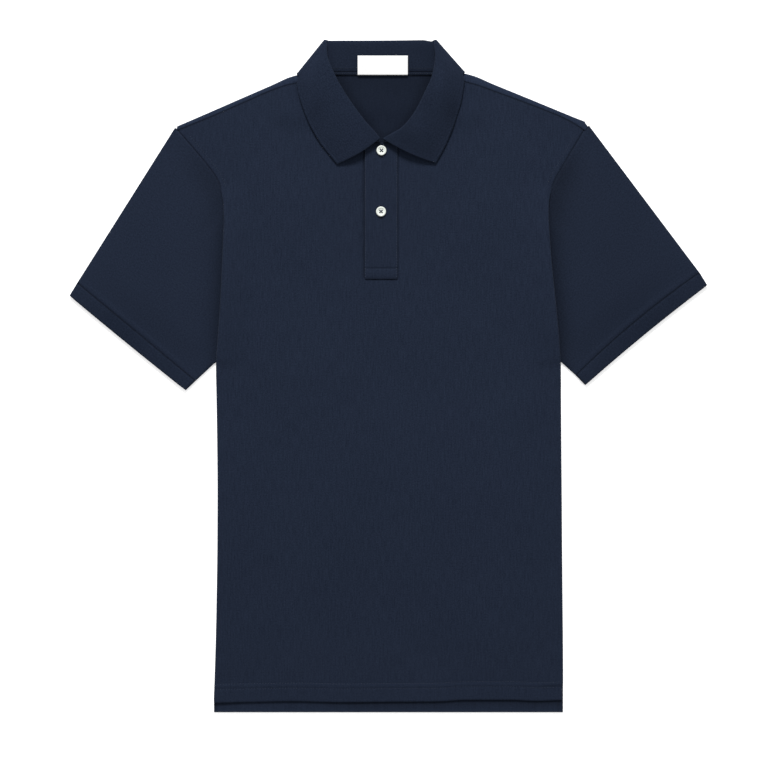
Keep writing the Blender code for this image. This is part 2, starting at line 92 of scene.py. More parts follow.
UNDERARM_Y = 17.0
ARMHOLE_TOP_Y = 280.0
SHOULDER_ROLL = 1.0
EDGE_ROLL = 1.6          # radius of the body's folded edges
CREST_FADE = 40.0        # the crest beside a folded edge dies away over this distance

# Outline of the body: the side seams, then the armholes from the underarm row up
BODY_EDGE = (
    # y, left x, right x
    (-383.5, -199.1, 199.3),
    (-371.0, -199.1, 199.3),
    (-345.0, -198.3, 199.3),
    (-300.0, -196.9, 199.1),
    (-250.0, -195.9, 198.6),
    (-190.0, -195.1, 198.1),
    (-130.0, -194.9, 197.7),
    (-70.0, -195.4, 197.2),
    (-20.0, -196.2, 196.9),
    (8.0, -196.7, 196.8),
    (22.0, -196.2, 196.3),
    (40.0, -194.5, 194.9),
    (65.0, -192.8, 192.7),
    (97.0, -190.8, 189.4),
    (130.0, -189.3, 186.1),
    (155.0, -188.3, 184.2),
    (174.0, -187.6, 183.2),
    (188.0, -187.9, 182.9),
    (198.0, -188.6, 183.4),
    (207.0, -190.0, 184.6),
    (216.0, -192.2, 187.4),
    (226.0, -196.6, 191.8),
    (240.0, -206.6, 199.8),
    (260.0, -223.3, 211.4),
    (280.0, -240.7, 223.6),
)

# How the body's edge folds down: over nothing at the sides, over the sleeve at the armhole,
# and flush with the sleeve along the sewn upper armhole
EDGE_FOLD = (
    # y, z where the front's edge ends, z of its crest, z where the back's edge ends
    (-383.5, 2.5, 3.4, 1.4),
    (8.0, 2.5, 3.4, 1.4),
    (22.0, 4.0, 5.4, 0.6),
    (97.0, 4.0, 6.2, 0.6),
    (174.0, 4.0, 5.6, 0.6),
    (198.0, 4.0, 5.0, 0.6),
    (216.0, 2.6, 2.6, 0.6),
    (280.0, 2.6, 2.6, 0.6),
)

# Shoulders: the back folds over at the outer line and meets the front at the seam
SHOULDERS = (
    # x, y of the fold, y of the forward seam
    (-240.7, 285.0, 280.0),
    (-200.0, 302.6, 296.5),
    (-165.0, 317.9, 311.8),
    (-130.0, 333.0, 326.7),
    (-109.5, 341.6, 332.8),
    (-89.0, 345.6, 336.0),
    (73.0, 347.0, 337.4),
    (93.7, 343.2, 333.5),
    (118.0, 333.6, 325.6),
    (150.0, 320.6, 313.9),
    (185.0, 306.2, 300.5),
    (208.0, 296.7, 290.0),
    (223.6, 290.3, 280.0),
)
NECK_CORNER_X = (-89.0, 73.0)
SHOULDER_TIPS = {"left": -0.6, "right": 3.2}   # the folded strip runs this far past the armhole's end
SHOULDER_TIP_OVER = 14.0
STRIP_PAINTED_LIGHT = 1.30        # painted light: the folds over the shoulders are painted lighter, where they catch the light
HEM_SEAM_SHADE = 0.16    # of the short seams that show at the ends of the back's hem
LEFT_HEM_SEAM = 4.4      # how far in from the left edge, and from the right one, they lie
RIGHT_HEM_SEAM = 5.4
BACK_NECK_Y = 344.6
BACK_NECK_MARGIN = 8.0

# The body's layers lie higher round the neck, over the collar's fall
NECK_LIFT = 2.1
NECK_CENTRE = (-8.4, 335.0)
LIFT_FROM_Y = 284.0
LIFT_OVER_Y = 26.0
LIFT_HALF_WIDTH = 135.0
LIFT_FADE_X = 28.0
FRONT_LIFT_AHEAD = 8.0

# Where the armhole turns from lying over the sleeve to being sewn to it: y, and over how far
SEWN_FROM = {
    "margin": (198.0, 16.0),
    "gap": (190.0, 14.0),
    "sleeve": (200.0, 14.0),
    "body": (205.0, 12.0),
}

# Lower edge of the front, a few millimetres uneven as it lies
HEM_WAVE = (
    # x, how far the edge lies above the CAD's straight hem
    (-200.0, -1.1),
    (-160.0, -0.4),
    (-108.0, 0.5),
    (-53.0, -0.6),
    (0.0, -0.1),
    (57.0, 0.3),
    (86.0, 2.0),
    (140.0, 2.1),
    (168.0, 0.9),
    (200.0, 1.9),
)
HEM_WAVE_REACH = 60.0          # and how high above the hem that dies away
HEM_ROWS = (14.9, 20.7)        # the two rows of stitches, above the hem's edge
VENT_TOP = 18.0                # the right side vent's height above the front's hem
VENT_FROM_X = 150.0            # the front draws in from here to the right
VENT_STEP = 1.4                # until its edge stands back this much in the vent
VENT_SINK = 0.9                # and lies this much lower

# Collar leaves, one row for each section from the front end up to the neck's side
LEAF_LEFT = (
    # neck x, y, z | fold x, y, z | outer edge x, y, z
    (-10.5, 267.6, 4.6, -9.4, 270.9, 8.8, -58.3, 241.8, 5.0),
    (-20.5, 271.0, 4.6, -16.3, 279.3, 10.2, -67.5, 253.2, 5.0),
    (-31.5, 275.8, 3.4, -23.7, 287.2, 11.2, -77.7, 266.4, 5.1),
    (-54.0, 289.5, 4.0, -37.7, 305.1, 12.2, -90.2, 288.6, 6.0),
    (-72.5, 308.0, 5.1, -51.5, 325.9, 12.2, -98.5, 309.4, 7.2),
    (-82.3, 324.0, 5.3, -62.6, 346.7, 11.4, -102.6, 325.5, 7.6),
    (-87.2, 335.0, 5.3, -69.6, 366.1, 9.4, -103.6, 334.5, 7.6),
)
LEAF_RIGHT = (
    (-5.7, 267.6, 4.6, -6.4, 270.5, 8.6, 53.7, 242.9, 5.0),
    (5.5, 271.2, 4.6, 4.0, 276.3, 10.0, 60.0, 253.8, 5.0),
    (17.5, 276.3, 3.4, 13.5, 281.6, 11.0, 66.2, 266.2, 5.1),
    (40.0, 291.0, 4.0, 28.0, 298.0, 12.0, 75.8, 290.0, 6.0),
    (57.0, 309.0, 5.1, 41.0, 322.5, 12.0, 82.6, 313.0, 7.4),
    (66.6, 325.0, 5.3, 50.0, 344.0, 11.4, 85.2, 329.0, 7.7),
    (71.2, 335.5, 5.3, 53.2, 364.0, 9.4, 86.0, 336.5, 7.6),
)
# Where the collar wraps from the front round to the back at each side of the neck
WRAP_LEFT = {"neck": (-85.6, 340.5), "fold": (-70.5, 380.0), "edge": (-101.6, 341.8), "out": (-0.746, 0.665)}
WRAP_RIGHT = {"neck": (69.6, 341.6), "fold": (52.0, 380.4), "edge": (84.4, 343.8), "out": (0.707, 0.707)}
WRAP_ANGLES = (0, 35, 65, 90, 115, 145, 180)
WRAP_NECK_SHIFT = 5.6    # the neck edge moves back this much as the collar passes the side of the neck
WRAP_Z = {"neck": 4.2, "fold": 4.7, "edge": 4.25}
WRAP_RADIUS = {"neck": 1.1, "fold": 2.6, "edge": 3.35}
WRAP_FOLD_SHIFT = {"left": (3.0, 2.4), "right": (-3.0, 1.3)}   # and the fold moves on to the back's top edge
# Back of the collar: the stand lies above the fall
COLLAR_BACK = (
    # neck x, neck y, fold x, fold y, outer edge x, outer edge y
    (-72.0, 345.6, -57.0, 382.6, -80.0, 329.0),
    (-36.0, 345.6, -32.0, 382.7, -42.0, 325.5),
    (-8.4, 345.6, -8.4, 382.8, -8.4, 325.0),
    (20.0, 345.6, 15.0, 383.0, 26.0, 325.8),
    (56.0, 345.6, 39.0, 383.2, 64.0, 330.0),
)
FOLD_RADIUS = 1.2
LEAF_ARCHES = (2.5, 2.5, 2.3, 2.0, 1.6, 1.4, 1.2)   # how far each section of a leaf bows up
LEAF_END_BOWS = (2.8, 1.4, 0.42, 0, 0, 0, 0)        # and how far its front end bows out to the point
# Soft swells and hollows of the leaves, painted lighter and darker as light falls on them
LEAF_PATCHES = (
    # x, y, half width, half height, change of tone (painted light on a swell, painted shade in a hollow)
    (-81.0, 304.0, 10.0, 15.0, -0.12),
    (-97.0, 322.0, 6.0, 15.0, -0.09),
    (-50.0, 322.0, 9.0, 18.0, 0.09),
    (-34.0, 290.0, 8.0, 14.0, 0.06),
    (-62.0, 262.0, 13.0, 12.0, -0.05),
    (57.0, 336.0, 6.0, 17.0, 0.12),
    (72.0, 300.0, 10.0, 22.0, -0.13),
    (33.0, 285.0, 9.0, 12.0, 0.08),
    (45.0, 256.0, 13.0, 10.0, -0.08),
    (21.0, 266.0, 9.0, 8.0, -0.06),
)
PATCH_RISE = 4.0       # mm of height for a whole step of tone
# The collar stand is painted darker as painted shade; the left leaf is painted lighter and the right one
# darker, as painted light and shade
STAND_PAINTED_SHADE = 0.875
LEAF_LIGHT_AND_SHADE = {"left": 1.05, "right": 0.94}

# Sleeves: the ends of the armhole, and the cuff seam and hem from underarm to top
# tone: the right sleeve is painted darker than the left, as painted shade; edge_shade: painted shade beside
# the body's edge
SLEEVES = {
    "left": {
        "side": -1,
        "armhole_start": (-196.2, 17.2),
        "armhole_end": (-243.2, 283.0),
        "seam": ((-220.6, -5.6), (-354.8, 105.9)),
        "hem": ((-231.4, -15.9), (-363.4, 91.6)),
        "bow": 0.0,
        "hem_bow": -0.6,
        "tone": 0.95,
        "edge_shade": 0.22,
    },
    "right": {
        "side": 1,
        "armhole_start": (197.1, 16.4),
        "armhole_end": (228.6, 285.6),
        "seam": ((214.3, 0.8), (354.8, 117.6)),
        "hem": ((224.7, -10.0), (363.4, 103.6)),
        "bow": 4.0,
        "hem_bow": 1.8,
        "tone": 0.90,
        "edge_shade": 0.30,
    },
}
SLEEVE_UNDERLAP = 7.0  # how far the sleeve's upper layer reaches under the body's edge
UNDERLAP_RANGE = (2.0, 14.0, 178.0, 197.0)   # y where the underlap starts, is whole, is whole still, and ends
SLEEVE_PUFF = 3.2      # how far the sleeve's upper layer stands up in its middle
SLEEVE_SINK = 0.6      # and how far it sinks where it passes under the body's edge
BODY_CREST = 3.0       # the body's folded edge stands this much higher over the sleeve than its solid
CREST_RANGE = (8.0, 204.0, 50.0)   # y where that starts and ends, and how soon it is whole
CREST_REACH = 60.0     # and how far in from the edge it dies away

# Soft creases, placed one by one. Each is a ridge (or a trough, if its height is below nought)
FRONT_CREASES = (
    # x, y at one end | x, y at the other | half width | height
    (-150.0, -60.0, -60.0, -250.0, 42.0, 0.55),
    (-30.0, 60.0, 30.0, -160.0, 60.0, 0.50),
    (130.0, 20.0, 70.0, -210.0, 46.0, 0.60),
    (170.0, -120.0, 120.0, -330.0, 34.0, 0.45),
    (-175.0, -180.0, -130.0, -345.0, 30.0, 0.45),
    (-175.0, 120.0, -95.0, 60.0, 30.0, 0.50),
    (165.0, 110.0, 90.0, 40.0, 34.0, 0.50),
    (-150.0, 250.0, -110.0, 170.0, 28.0, 0.40),
    (150.0, 255.0, 100.0, 150.0, 30.0, 0.40),
)
CREASES_CLEAR = {"x": -8.0, "half_width": 24.0, "y": 100.0}   # none beside or over the placket above this y
BACK_CREASES = (
    (-140.0, 120.0, -60.0, -60.0, 40.0, 0.30),
    (120.0, 150.0, 60.0, -80.0, 44.0, 0.32),
    (-20.0, 200.0, 10.0, 60.0, 36.0, 0.25),
    (-110.0, -180.0, -30.0, -320.0, 38.0, 0.30),
    (130.0, -160.0, 70.0, -330.0, 34.0, 0.28),
)

# ---------------------------------------------------------------- numbers and curves


def smooth(share):
    """Eases from 0 to 1 as share goes from 0 to 1."""
    share = np.clip(share, 0.0, 1.0)
    return share * share * (3.0 - 2.0 * share)


def bell(distance, width):
    """A hump of height 1 at distance 0, almost gone at twice its width."""
    return np.exp(-(distance / width) ** 2)


def sewn(y, what):
    """0 where the armhole lies loose over the sleeve and 1 where it is sewn."""
    start, over = SEWN_FROM[what]
    return smooth((y - start) / over)


def hermite(places, values, at):
    """Values at places, read on a smooth curve through them that doesn't overshoot."""
    places = np.asarray(places, float)
    values = np.asarray(values, float)
    flat = values.reshape(len(places), -1)
    step = np.diff(places)[:, None]
    slope = np.diff(flat, axis=0) / step
    before, after = slope[:-1], slope[1:]
    both = before * after
    total = np.where(both > 0, before + after, 1.0)
    inner = np.where(both > 0, 2.0 * both / total, 0.0)
    tangent = np.concatenate([slope[:1], inner, slope[-1:]])
    at = np.clip(np.asarray(at, float), places[0], places[-1])
    shape = at.shape
    at = at.ravel()
    cell = np.clip(np.searchsorted(places, at, side="right") - 1, 0, len(step) - 1)
    width = step[cell]
    t = (at[:, None] - places[cell][:, None]) / width
    low, high = flat[cell], flat[cell + 1]
    found = (
        (1 + 2 * t) * (1 - t) ** 2 * low
        + t * (1 - t) ** 2 * width * tangent[cell]
        + t * t * (3 - 2 * t) * high
        + t * t * (t - 1) * width * tangent[cell + 1]
    )
    return found.reshape(shape + values.shape[1:])


def read(rows, at, column):
    """Reads a table's column at many places; its first column rises."""
    return hermite([row[0] for row in rows], [row[column] for row in rows], at)


def lines(*zones):
    """Places from one end to the other, with a spacing of its own for each zone (start, end, step)."""
    found = [np.array([zones[0][0]])]
    for start, end, step in zones:
        count = max(1, round(abs(end - start) / step))
        found.append(np.linspace(start, end, count + 1)[1:])
    return np.concatenate(found)


def lengths_along(points):
    steps = np.linalg.norm(np.diff(points, axis=0), axis=-1)
    return np.concatenate([[0.0], np.cumsum(steps)])


def evenly(points, spacing):
    """Points at even distances along a line of points."""
    points = np.asarray(points, float)
    along = lengths_along(points)
    count = max(2, int(along[-1] / spacing) + 1)
    at = np.linspace(0.0, along[-1], count)
    return np.stack([np.interp(at, along, points[:, k]) for k in range(points.shape[1])], -1)


def grid_normals(points):
    """Unit normals of a grid of points."""
    down = np.gradient(points, axis=0)
    across = np.gradient(points, axis=1)
    normal = np.cross(across, down)
    return normal / np.maximum(np.linalg.norm(normal, axis=-1, keepdims=True), 1e-9)


def creases(rows, x, y):
    """Height of all the soft creases at each place."""
    total = np.zeros_like(x)
    for x0, y0, x1, y1, half_width, height in rows:
        length = math.hypot(x1 - x0, y1 - y0)
        ux, uy = (x1 - x0) / length, (y1 - y0) / length
        along = ((x - x0) * ux + (y - y0) * uy) / length
        aside = (x - x0) * uy - (y - y0) * ux
        ends = smooth(along / 0.45 + 0.5) * smooth((1.0 - along) / 0.45 + 0.5)
        total += height * ends * bell(aside, half_width)
    return total


def neck_lift(x, y):
    """How far the body's layers lie above their usual level, over the collar's fall."""
    along = smooth((y - LIFT_FROM_Y) / LIFT_OVER_Y)
    across = smooth((LIFT_HALF_WIDTH - np.abs(x - NECK_CENTRE[0])) / LIFT_FADE_X)
    return NECK_LIFT * along * across


# ---------------------------------------------------------------- meshes


def add_object(name, data):
    made = bpy.data.objects.new(name, data)
    bpy.context.scene.collection.objects.link(made)
    return made


def add_piece(name, mesh, finish, nodes=()):
    """Puts a mesh in the scene as a piece that rides with the shirt."""
    piece = add_object(name, mesh)
    mesh.materials.append(finish)
    mesh.shade_smooth()
    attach(piece, "root")
    if nodes:
        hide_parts(*nodes)
    return piece


def mesh_from(name, points, faces):
    """A mesh from points in mm and faces."""
    mesh = bpy.data.meshes.new(name)
    mesh.from_pydata((np.array(points) * MM).tolist(), [], faces)
    mesh.update()
    return mesh


def tube_faces(first, rings, sides):
    """Faces of a closed tube whose rings of points follow each other, from the point numbered first."""
    faces = []
    for ring in range(rings - 1):
        for k in range(sides):
            a = first + ring * sides + k
            b = first + ring * sides + (k + 1) % sides
            faces.append((a, b, b + sides, a + sides))
    last = first + (rings - 1) * sides
    faces.append(tuple(first + k for k in reversed(range(sides))))
    faces.append(tuple(last + k for k in range(sides)))
    return faces


def circle(sides):
    """The cosine and sine of even turns round a circle, a pair for each side."""
    turns = np.arange(sides) * 2 * math.pi / sides
    return [(math.cos(turn), math.sin(turn)) for turn in turns]


def cloth(name, points, flat, wall, finish, nodes, ring=False, keep=None, tone=1.0):
    """A cloth wall through a grid of points, with the place of each point on the flat cloth (mm).

    A ring's last column joins its first. tone multiplies the colour at each point: painted light
    on folds that catch the light, and painted shade in seams, hollows and places under other parts.
    """
    rows, columns = points.shape[:2]
    index = np.arange(rows * columns).reshape(rows, columns)
    if ring:
        index = np.hstack([index, index[:, :1]])
    corner = np.arange(flat.shape[0] * flat.shape[1]).reshape(flat.shape[:2])

    def corners(table):
        return np.stack([table[:-1, :-1], table[:-1, 1:], table[1:, 1:], table[1:, :-1]], -1)

    faces, places = corners(index), corners(corner)
    if keep is not None:
        faces, places = faces[keep], places[keep]
    faces, places = faces.reshape(-1, 4), places.reshape(-1, 4)
    used, faces = np.unique(faces, return_inverse=True)
    mesh = mesh_from(name, points.reshape(-1, 3)[used], faces.reshape(-1, 4).tolist())
    layer = mesh.uv_layers.new(name="cloth")
    layer.data.foreach_set("uv", (flat.reshape(-1, 2)[places] * MM).ravel().astype(np.float32))
    tones = np.broadcast_to(tone, points.shape[:2])
    layer = mesh.attributes.new("tone", "FLOAT", "POINT")
    layer.data.foreach_set("value", tones.reshape(-1)[used].astype(np.float32))
    piece = add_piece(name, mesh, finish, nodes)
    solid = piece.modifiers.new("wall", "SOLIDIFY")
    solid.thickness = wall * MM
    solid.offset = 0.0
    return piece


UPWARDS = np.array([0.0, 0.0, 1.0])
STITCH_SIDES = 6
STITCH_FLATNESS = 0.8
STITCH_STATIONS = (
    # share of the stitch's length from its middle, share of the thread's width, rise in threads
    (-0.5, 0.15, -0.35),
    (-0.36, 0.8, 0.05),
    (-0.12, 1.0, 0.3),
    (0.12, 1.0, 0.3),
    (0.36, 0.8, 0.05),
    (0.5, 0.15, -0.35),
)


def stitch_mesh(name, centres, along, up, length, thread):
    """Short threads, each with rounded ends that sink into the cloth, as one mesh."""
    points, faces = [], []
    for centre, direction in zip(centres, along):
        aside = np.cross(up, direction)
        aside /= np.linalg.norm(aside)
        faces += tube_faces(len(points), len(STITCH_STATIONS), STITCH_SIDES)
        for place, share, rise in STITCH_STATIONS:
            middle = centre + direction * (place * length) + up * (rise * thread)
            for cosine, sine in circle(STITCH_SIDES):
                reach = aside * cosine + up * sine * STITCH_FLATNESS
                points.append(middle + reach * (share * thread / 2))
    return mesh_from(name, points, faces)


def stitch_rows(name, rows, finish, pitch, length, thread, up=UPWARDS):
    """Rows of stitches along lines of points (mm), joined into one piece."""
    centres, directions = [], []
    for row in rows:
        places = evenly(row, pitch)
        steps = places[1:] - places[:-1]
        centres.append((places[1:] + places[:-1]) / 2)
        directions.append(steps / np.linalg.norm(steps, axis=-1, keepdims=True))
    mesh = stitch_mesh(name, np.concatenate(centres), np.concatenate(directions), up, length, thread)
    return add_piece(name, mesh, finish)


# ---------------------------------------------------------------- materials

NAVY_DARK = (0.0053, 0.0087, 0.0187)
NAVY_LIGHT = (0.0155, 0.0231, 0.0436)
RIB_DARK = (0.0047, 0.0078, 0.0165)
RIB_LIGHT = (0.0140, 0.0205, 0.0384)
INSIDE_DARK = (0.0040, 0.0067, 0.0146)
INSIDE_LIGHT = (0.0112, 0.0166, 0.0312)
PEARL_DARK = (0.60, 0.64, 0.59)
PEARL_LIGHT = (0.82, 0.85, 0.80)
LABEL_DARK = (0.70, 0.70, 0.70)
LABEL_LIGHT = (0.84, 0.84, 0.84)


def shader_of(name, roughness, specular, sheen=0.0, sheen_roughness=0.4, sheen_tint=(1, 1, 1)):
    """A new material and its shader, with the numbers that are the same all over it."""
    made = bpy.data.materials.new(name)
    made.use_nodes = True
    shader = made.node_tree.nodes["Principled BSDF"]
    shader.inputs["Roughness"].default_value = roughness
    shader.inputs["Specular IOR Level"].default_value = specular
    shader.inputs["Sheen Weight"].default_value = sheen
    shader.inputs["Sheen Roughness"].default_value = sheen_roughness
    shader.inputs["Sheen Tint"].default_value = (*sheen_tint, 1.0)
    return made, shader


def add_node(tree, kind, values=None, **settings):
    """A node with its settings, its inputs given as numbers or as links."""
    made = tree.nodes.new(kind)
    for name, value in settings.items():
        setattr(made, name, value)
    for name, value in (values or {}).items():
        if hasattr(value, "is_output"):
            tree.links.new(value, made.inputs[name])
        else:
            made.inputs[name].default_value = value
    return made


def maths(tree, operation, first, second=0.0, third=0.0):
    made = add_node(tree, "ShaderNodeMath", {0: first, 1: second, 2: third}, operation=operation)
    return made.outputs[0]


def mixed(tree, factor, dark, light):
    """A colour between two, by a factor from 0 to 1."""
    made = add_node(tree, "ShaderNodeMix", {"Factor": factor, 6: (*dark, 1.0), 7: (*light, 1.0)},
                    data_type="RGBA")
    return made.outputs[2]


def add_bump(tree, shader, height, depth_mm):
    bump = add_node(tree, "ShaderNodeBump", {"Height": height, "Distance": depth_mm * MM, "Strength": 1.0})
    tree.links.new(bump.outputs[0], shader.inputs["Normal"])


def cloth_place(tree):
    """The place on the flat cloth, and its two coordinates."""
    place = add_node(tree, "ShaderNodeUVMap", uv_map="cloth").outputs[0]
    split = add_node(tree, "ShaderNodeSeparateXYZ", {0: place})
    return place, split.outputs[0], split.outputs[1]


def noise(tree, vector, scale, detail, stretch=(1.0, 1.0, 1.0)):
    moved = add_node(tree, "ShaderNodeMapping", {"Vector": vector, "Scale": stretch})
    made = add_node(tree, "ShaderNodeTexNoise",
                    {"Vector": moved.outputs[0], "Scale": scale, "Detail": detail})
    return made.outputs["Fac"]


def wave(tree, value, length):
    """A sine wave of that length in mm."""
    return maths(tree, "SINE", maths(tree, "MULTIPLY", value, 2 * math.pi / (length * MM)))


def weighted(tree, base, parts):
    """base plus each value less one half, times its weight."""
    total = None
    for value, weight in parts:
        part = maths(tree, "MULTIPLY", maths(tree, "SUBTRACT", value, 0.5), weight)
        total = part if total is None else maths(tree, "ADD", total, part)
    return maths(tree, "ADD", total, base)


def knit_material(name, dark, light, weights, wale, course, bump_mm, roughness, specular, sheen):
    """A knitted cloth: fine cells or ribs, uneven yarn, streaks along the wales, and soft clouds.

    wale and course are the lengths in mm of the knit's waves; the weights are for cell, yarn,
    streak and cloud.
    """
    made, shader = shader_of(name, roughness, specular, sheen, 0.45, (0.55, 0.65, 0.9))
    tree = made.node_tree
    place, across, along = cloth_place(tree)
    cell = wave(tree, across, wale)
    if course:
        cell = maths(tree, "MULTIPLY", cell, wave(tree, along, course))
    cell = maths(tree, "MULTIPLY_ADD", cell, 0.5, 0.5)
    yarn = noise(tree, place, 620.0, 2.0)
    streak = noise(tree, place, 1.0, 2.0, (680.0, 60.0, 1.0))
    cloud = noise(tree, place, 11.0, 2.0)
    factor = weighted(tree, 0.5, zip((cell, yarn, streak, cloud), weights))
    # The tone attribute multiplies the colour: painted light and painted shade carried on the mesh
    tone = add_node(tree, "ShaderNodeAttribute", attribute_name="tone").outputs["Fac"]
    toned = add_node(tree, "ShaderNodeVectorMath", {0: mixed(tree, factor, dark, light), 1: tone},
                     operation="MULTIPLY")
    tree.links.new(toned.outputs[0], shader.inputs["Base Color"])
    add_bump(tree, shader, weighted(tree, 0.0, ((cell, 1.0), (yarn, 0.5))), bump_mm)
    return made


def thread_material(name, colour, roughness, specular):
    """Twisted sewing thread."""
    made, shader = shader_of(name, roughness, specular, 0.2, 0.4)
    tree = made.node_tree
    place = add_node(tree, "ShaderNodeTexCoord").outputs["Object"]
    twist = noise(tree, place, 1800.0, 1.0)
    dark = tuple(channel * 0.75 for channel in colour)
    tree.links.new(mixed(tree, twist, dark, colour), shader.inputs["Base Color"])
    add_bump(tree, shader, twist, 0.05)
    return made


def pearl_material():
    """Moulded pearl button: cloudy off-white with a soft gloss."""
    made, shader = shader_of("pearl", 0.22, 0.5)
    shader.inputs["Coat Weight"].default_value = 0.4
    shader.inputs["Coat Roughness"].default_value = 0.12
    tree = made.node_tree
    place = add_node(tree, "ShaderNodeTexCoord").outputs["Object"]
    cloud = noise(tree, place, 260.0, 3.0, (1.0, 2.2, 1.0))
    tree.links.new(mixed(tree, cloud, PEARL_DARK, PEARL_LIGHT), shader.inputs["Base Color"])
    return made


def label_material():
    """White damask label: fine crosswise ribs and a faint sheen."""
    made, shader = shader_of("woven_label", 0.6, 0.3, 0.1, 0.3)
    tree = made.node_tree
    place, across, along = cloth_place(tree)
    crossing = maths(tree, "MULTIPLY", wave(tree, along, 0.42), wave(tree, across, 0.3))
    weave = maths(tree, "MULTIPLY_ADD", crossing, 0.5, 0.5)
    grain = noise(tree, place, 700.0, 2.0)
    factor = weighted(tree, 0.5, ((weave, 0.6), (grain, 0.8)))
    tree.links.new(mixed(tree, factor, LABEL_DARK, LABEL_LIGHT), shader.inputs["Base Color"])
    add_bump(tree, shader, weave, 0.03)
    return made


PIQUE_INSIDE = knit_material("navy_pique_inside", INSIDE_DARK, INSIDE_LIGHT, (0.4, 1.1, 0.5, 0.35),
                             1.45, 1.2, 0.05, 0.9, 0.07, 0.06)
PIQUE_CLOTH = knit_material("navy_pique", NAVY_DARK, NAVY_LIGHT, (0.6, 1.2, 0.75, 0.22),
                            1.45, 1.2, 0.07, 0.9, 0.08, 0.06)
PIQUE_SLEEVE = knit_material("navy_pique_sleeve", NAVY_DARK, NAVY_LIGHT, (0.6, 1.45, 0.15, 0.2),
                             1.45, 1.2, 0.07, 0.9, 0.08, 0.06)
RIB_CLOTH = knit_material("navy_rib", RIB_DARK, RIB_LIGHT, (0.2, 1.5, 0.4, 0.7),
                          1.5, None, 0.06, 0.92, 0.07, 0.04)
THREAD = thread_material("navy_thread", (0.022, 0.031, 0.053), 0.7, 0.12)
PLACKET_THREAD = thread_material("placket_thread", (0.028, 0.039, 0.066), 0.7, 0.12)
BUTTON_THREAD = thread_material("button_thread", (0.012, 0.018, 0.050), 0.7, 0.15)
DARK_THREAD = thread_material("dark_thread", (0.005, 0.007, 0.016), 0.8, 0.08)
WHITE_THREAD = thread_material("white_thread", (0.72, 0.72, 0.72), 0.6, 0.3)
PEARL = pearl_material()
WOVEN = label_material()

# ---------------------------------------------------------------- front and back

STRAIGHT = 60.0        # columns within this distance of the middle stay upright
HALF = 200.0           # a column's number is its X on a body this wide each side
EDGE_ZONES = (2.0, 9.0)      # the grid is closest to this far in from the edge, and close to this far
HEM_ZONE = 24.0              # and it is close up to this far above the hem


def edge_margin(y):
    """The wall's middle stands in by half its thickness where the edge is folded, but not where sewn."""
    return PIQUE / 2 * (1.0 - sewn(y, "margin"))


def body_x(column, y):
    """X of a grid column at a height: upright in the middle, following the outline at the sides."""
    margin = edge_margin(y)
    left = read(BODY_EDGE, y, 1) + margin
    right = read(BODY_EDGE, y, 2) - margin
    share = (np.abs(column) - STRAIGHT) / (HALF - STRAIGHT)
    outer_right = STRAIGHT + share * (right - STRAIGHT)
    outer_left = -STRAIGHT + share * (left + STRAIGHT)
    return np.where(column > STRAIGHT, outer_right, np.where(column < -STRAIGHT, outer_left, column))


def edge_distance(x, y):
    """How far a place lies inside the nearer edge of the body, less half the wall."""
    left = read(BODY_EDGE, y, 1)
    right = read(BODY_EDGE, y, 2)
    return np.minimum(x - left, right - x) - PIQUE / 2


def neckline():
    """The front's neck edge from the left neck corner round to the right one, just outside the collar."""
    centre = np.array(NECK_CENTRE)
    found = []
    for row in list(reversed(LEAF_LEFT[:-1])) + list(LEAF_RIGHT[:-1]):
        place = np.array(row[:2])
        away = place - centre
        found.append(tuple(place + away / np.linalg.norm(away) * 2 * SEAM))
    left, right = NECK_CORNER_X
    corners = [(x, float(read(SHOULDERS, x, 2))) for x in (left, right)]
    return [corners[0]] + found + [corners[1]]


NECKLINE = neckline()


def in_neck(x):
    return (x > NECK_CORNER_X[0]) & (x < NECK_CORNER_X[1])


def neck_edge_y(x):
    return read(NECKLINE, x, 1)


def front_top_y(x):
    return np.where(in_neck(x), neck_edge_y(x), read(SHOULDERS, x, 2))


def back_top_y(x):
    return np.where(in_neck(x), BACK_NECK_Y - BACK_NECK_MARGIN, read(SHOULDERS, x, 2))


def body_columns(*middle):
    """Column numbers across the body, close together at both edges, with the middle's own zones between."""
    left = ((-HALF, -HALF + EDGE_ZONES[0], 0.35), (-HALF + EDGE_ZONES[0], -HALF + EDGE_ZONES[1], 1.0))
    right = ((HALF - EDGE_ZONES[1], HALF - EDGE_ZONES[0], 1.0), (HALF - EDGE_ZONES[0], HALF, 0.35))
    return lines(*left, *middle, *right)


def body_rows(hem, *above):
    """Rows up the body, close together at the hem, with the zones above it."""
    return lines((hem, hem + 2, 0.4), (hem + 2, hem + HEM_ZONE, 0.85), *above)


def body_grid(columns, rows, top_y):
    """X and Y of a body panel's grid, and the Y that each place has on the straight rows."""
    column, row_y = np.meshgrid(columns, rows)
    share = np.clip((row_y - UNDERARM_Y) / (ARMHOLE_TOP_Y - UNDERARM_Y), 0.0, None)
    x = body_x(column, row_y)
    x_top = body_x(column, np.full_like(row_y, ARMHOLE_TOP_Y))
    y = row_y + share * (top_y(x_top) - ARMHOLE_TOP_Y)
    return x, y, row_y


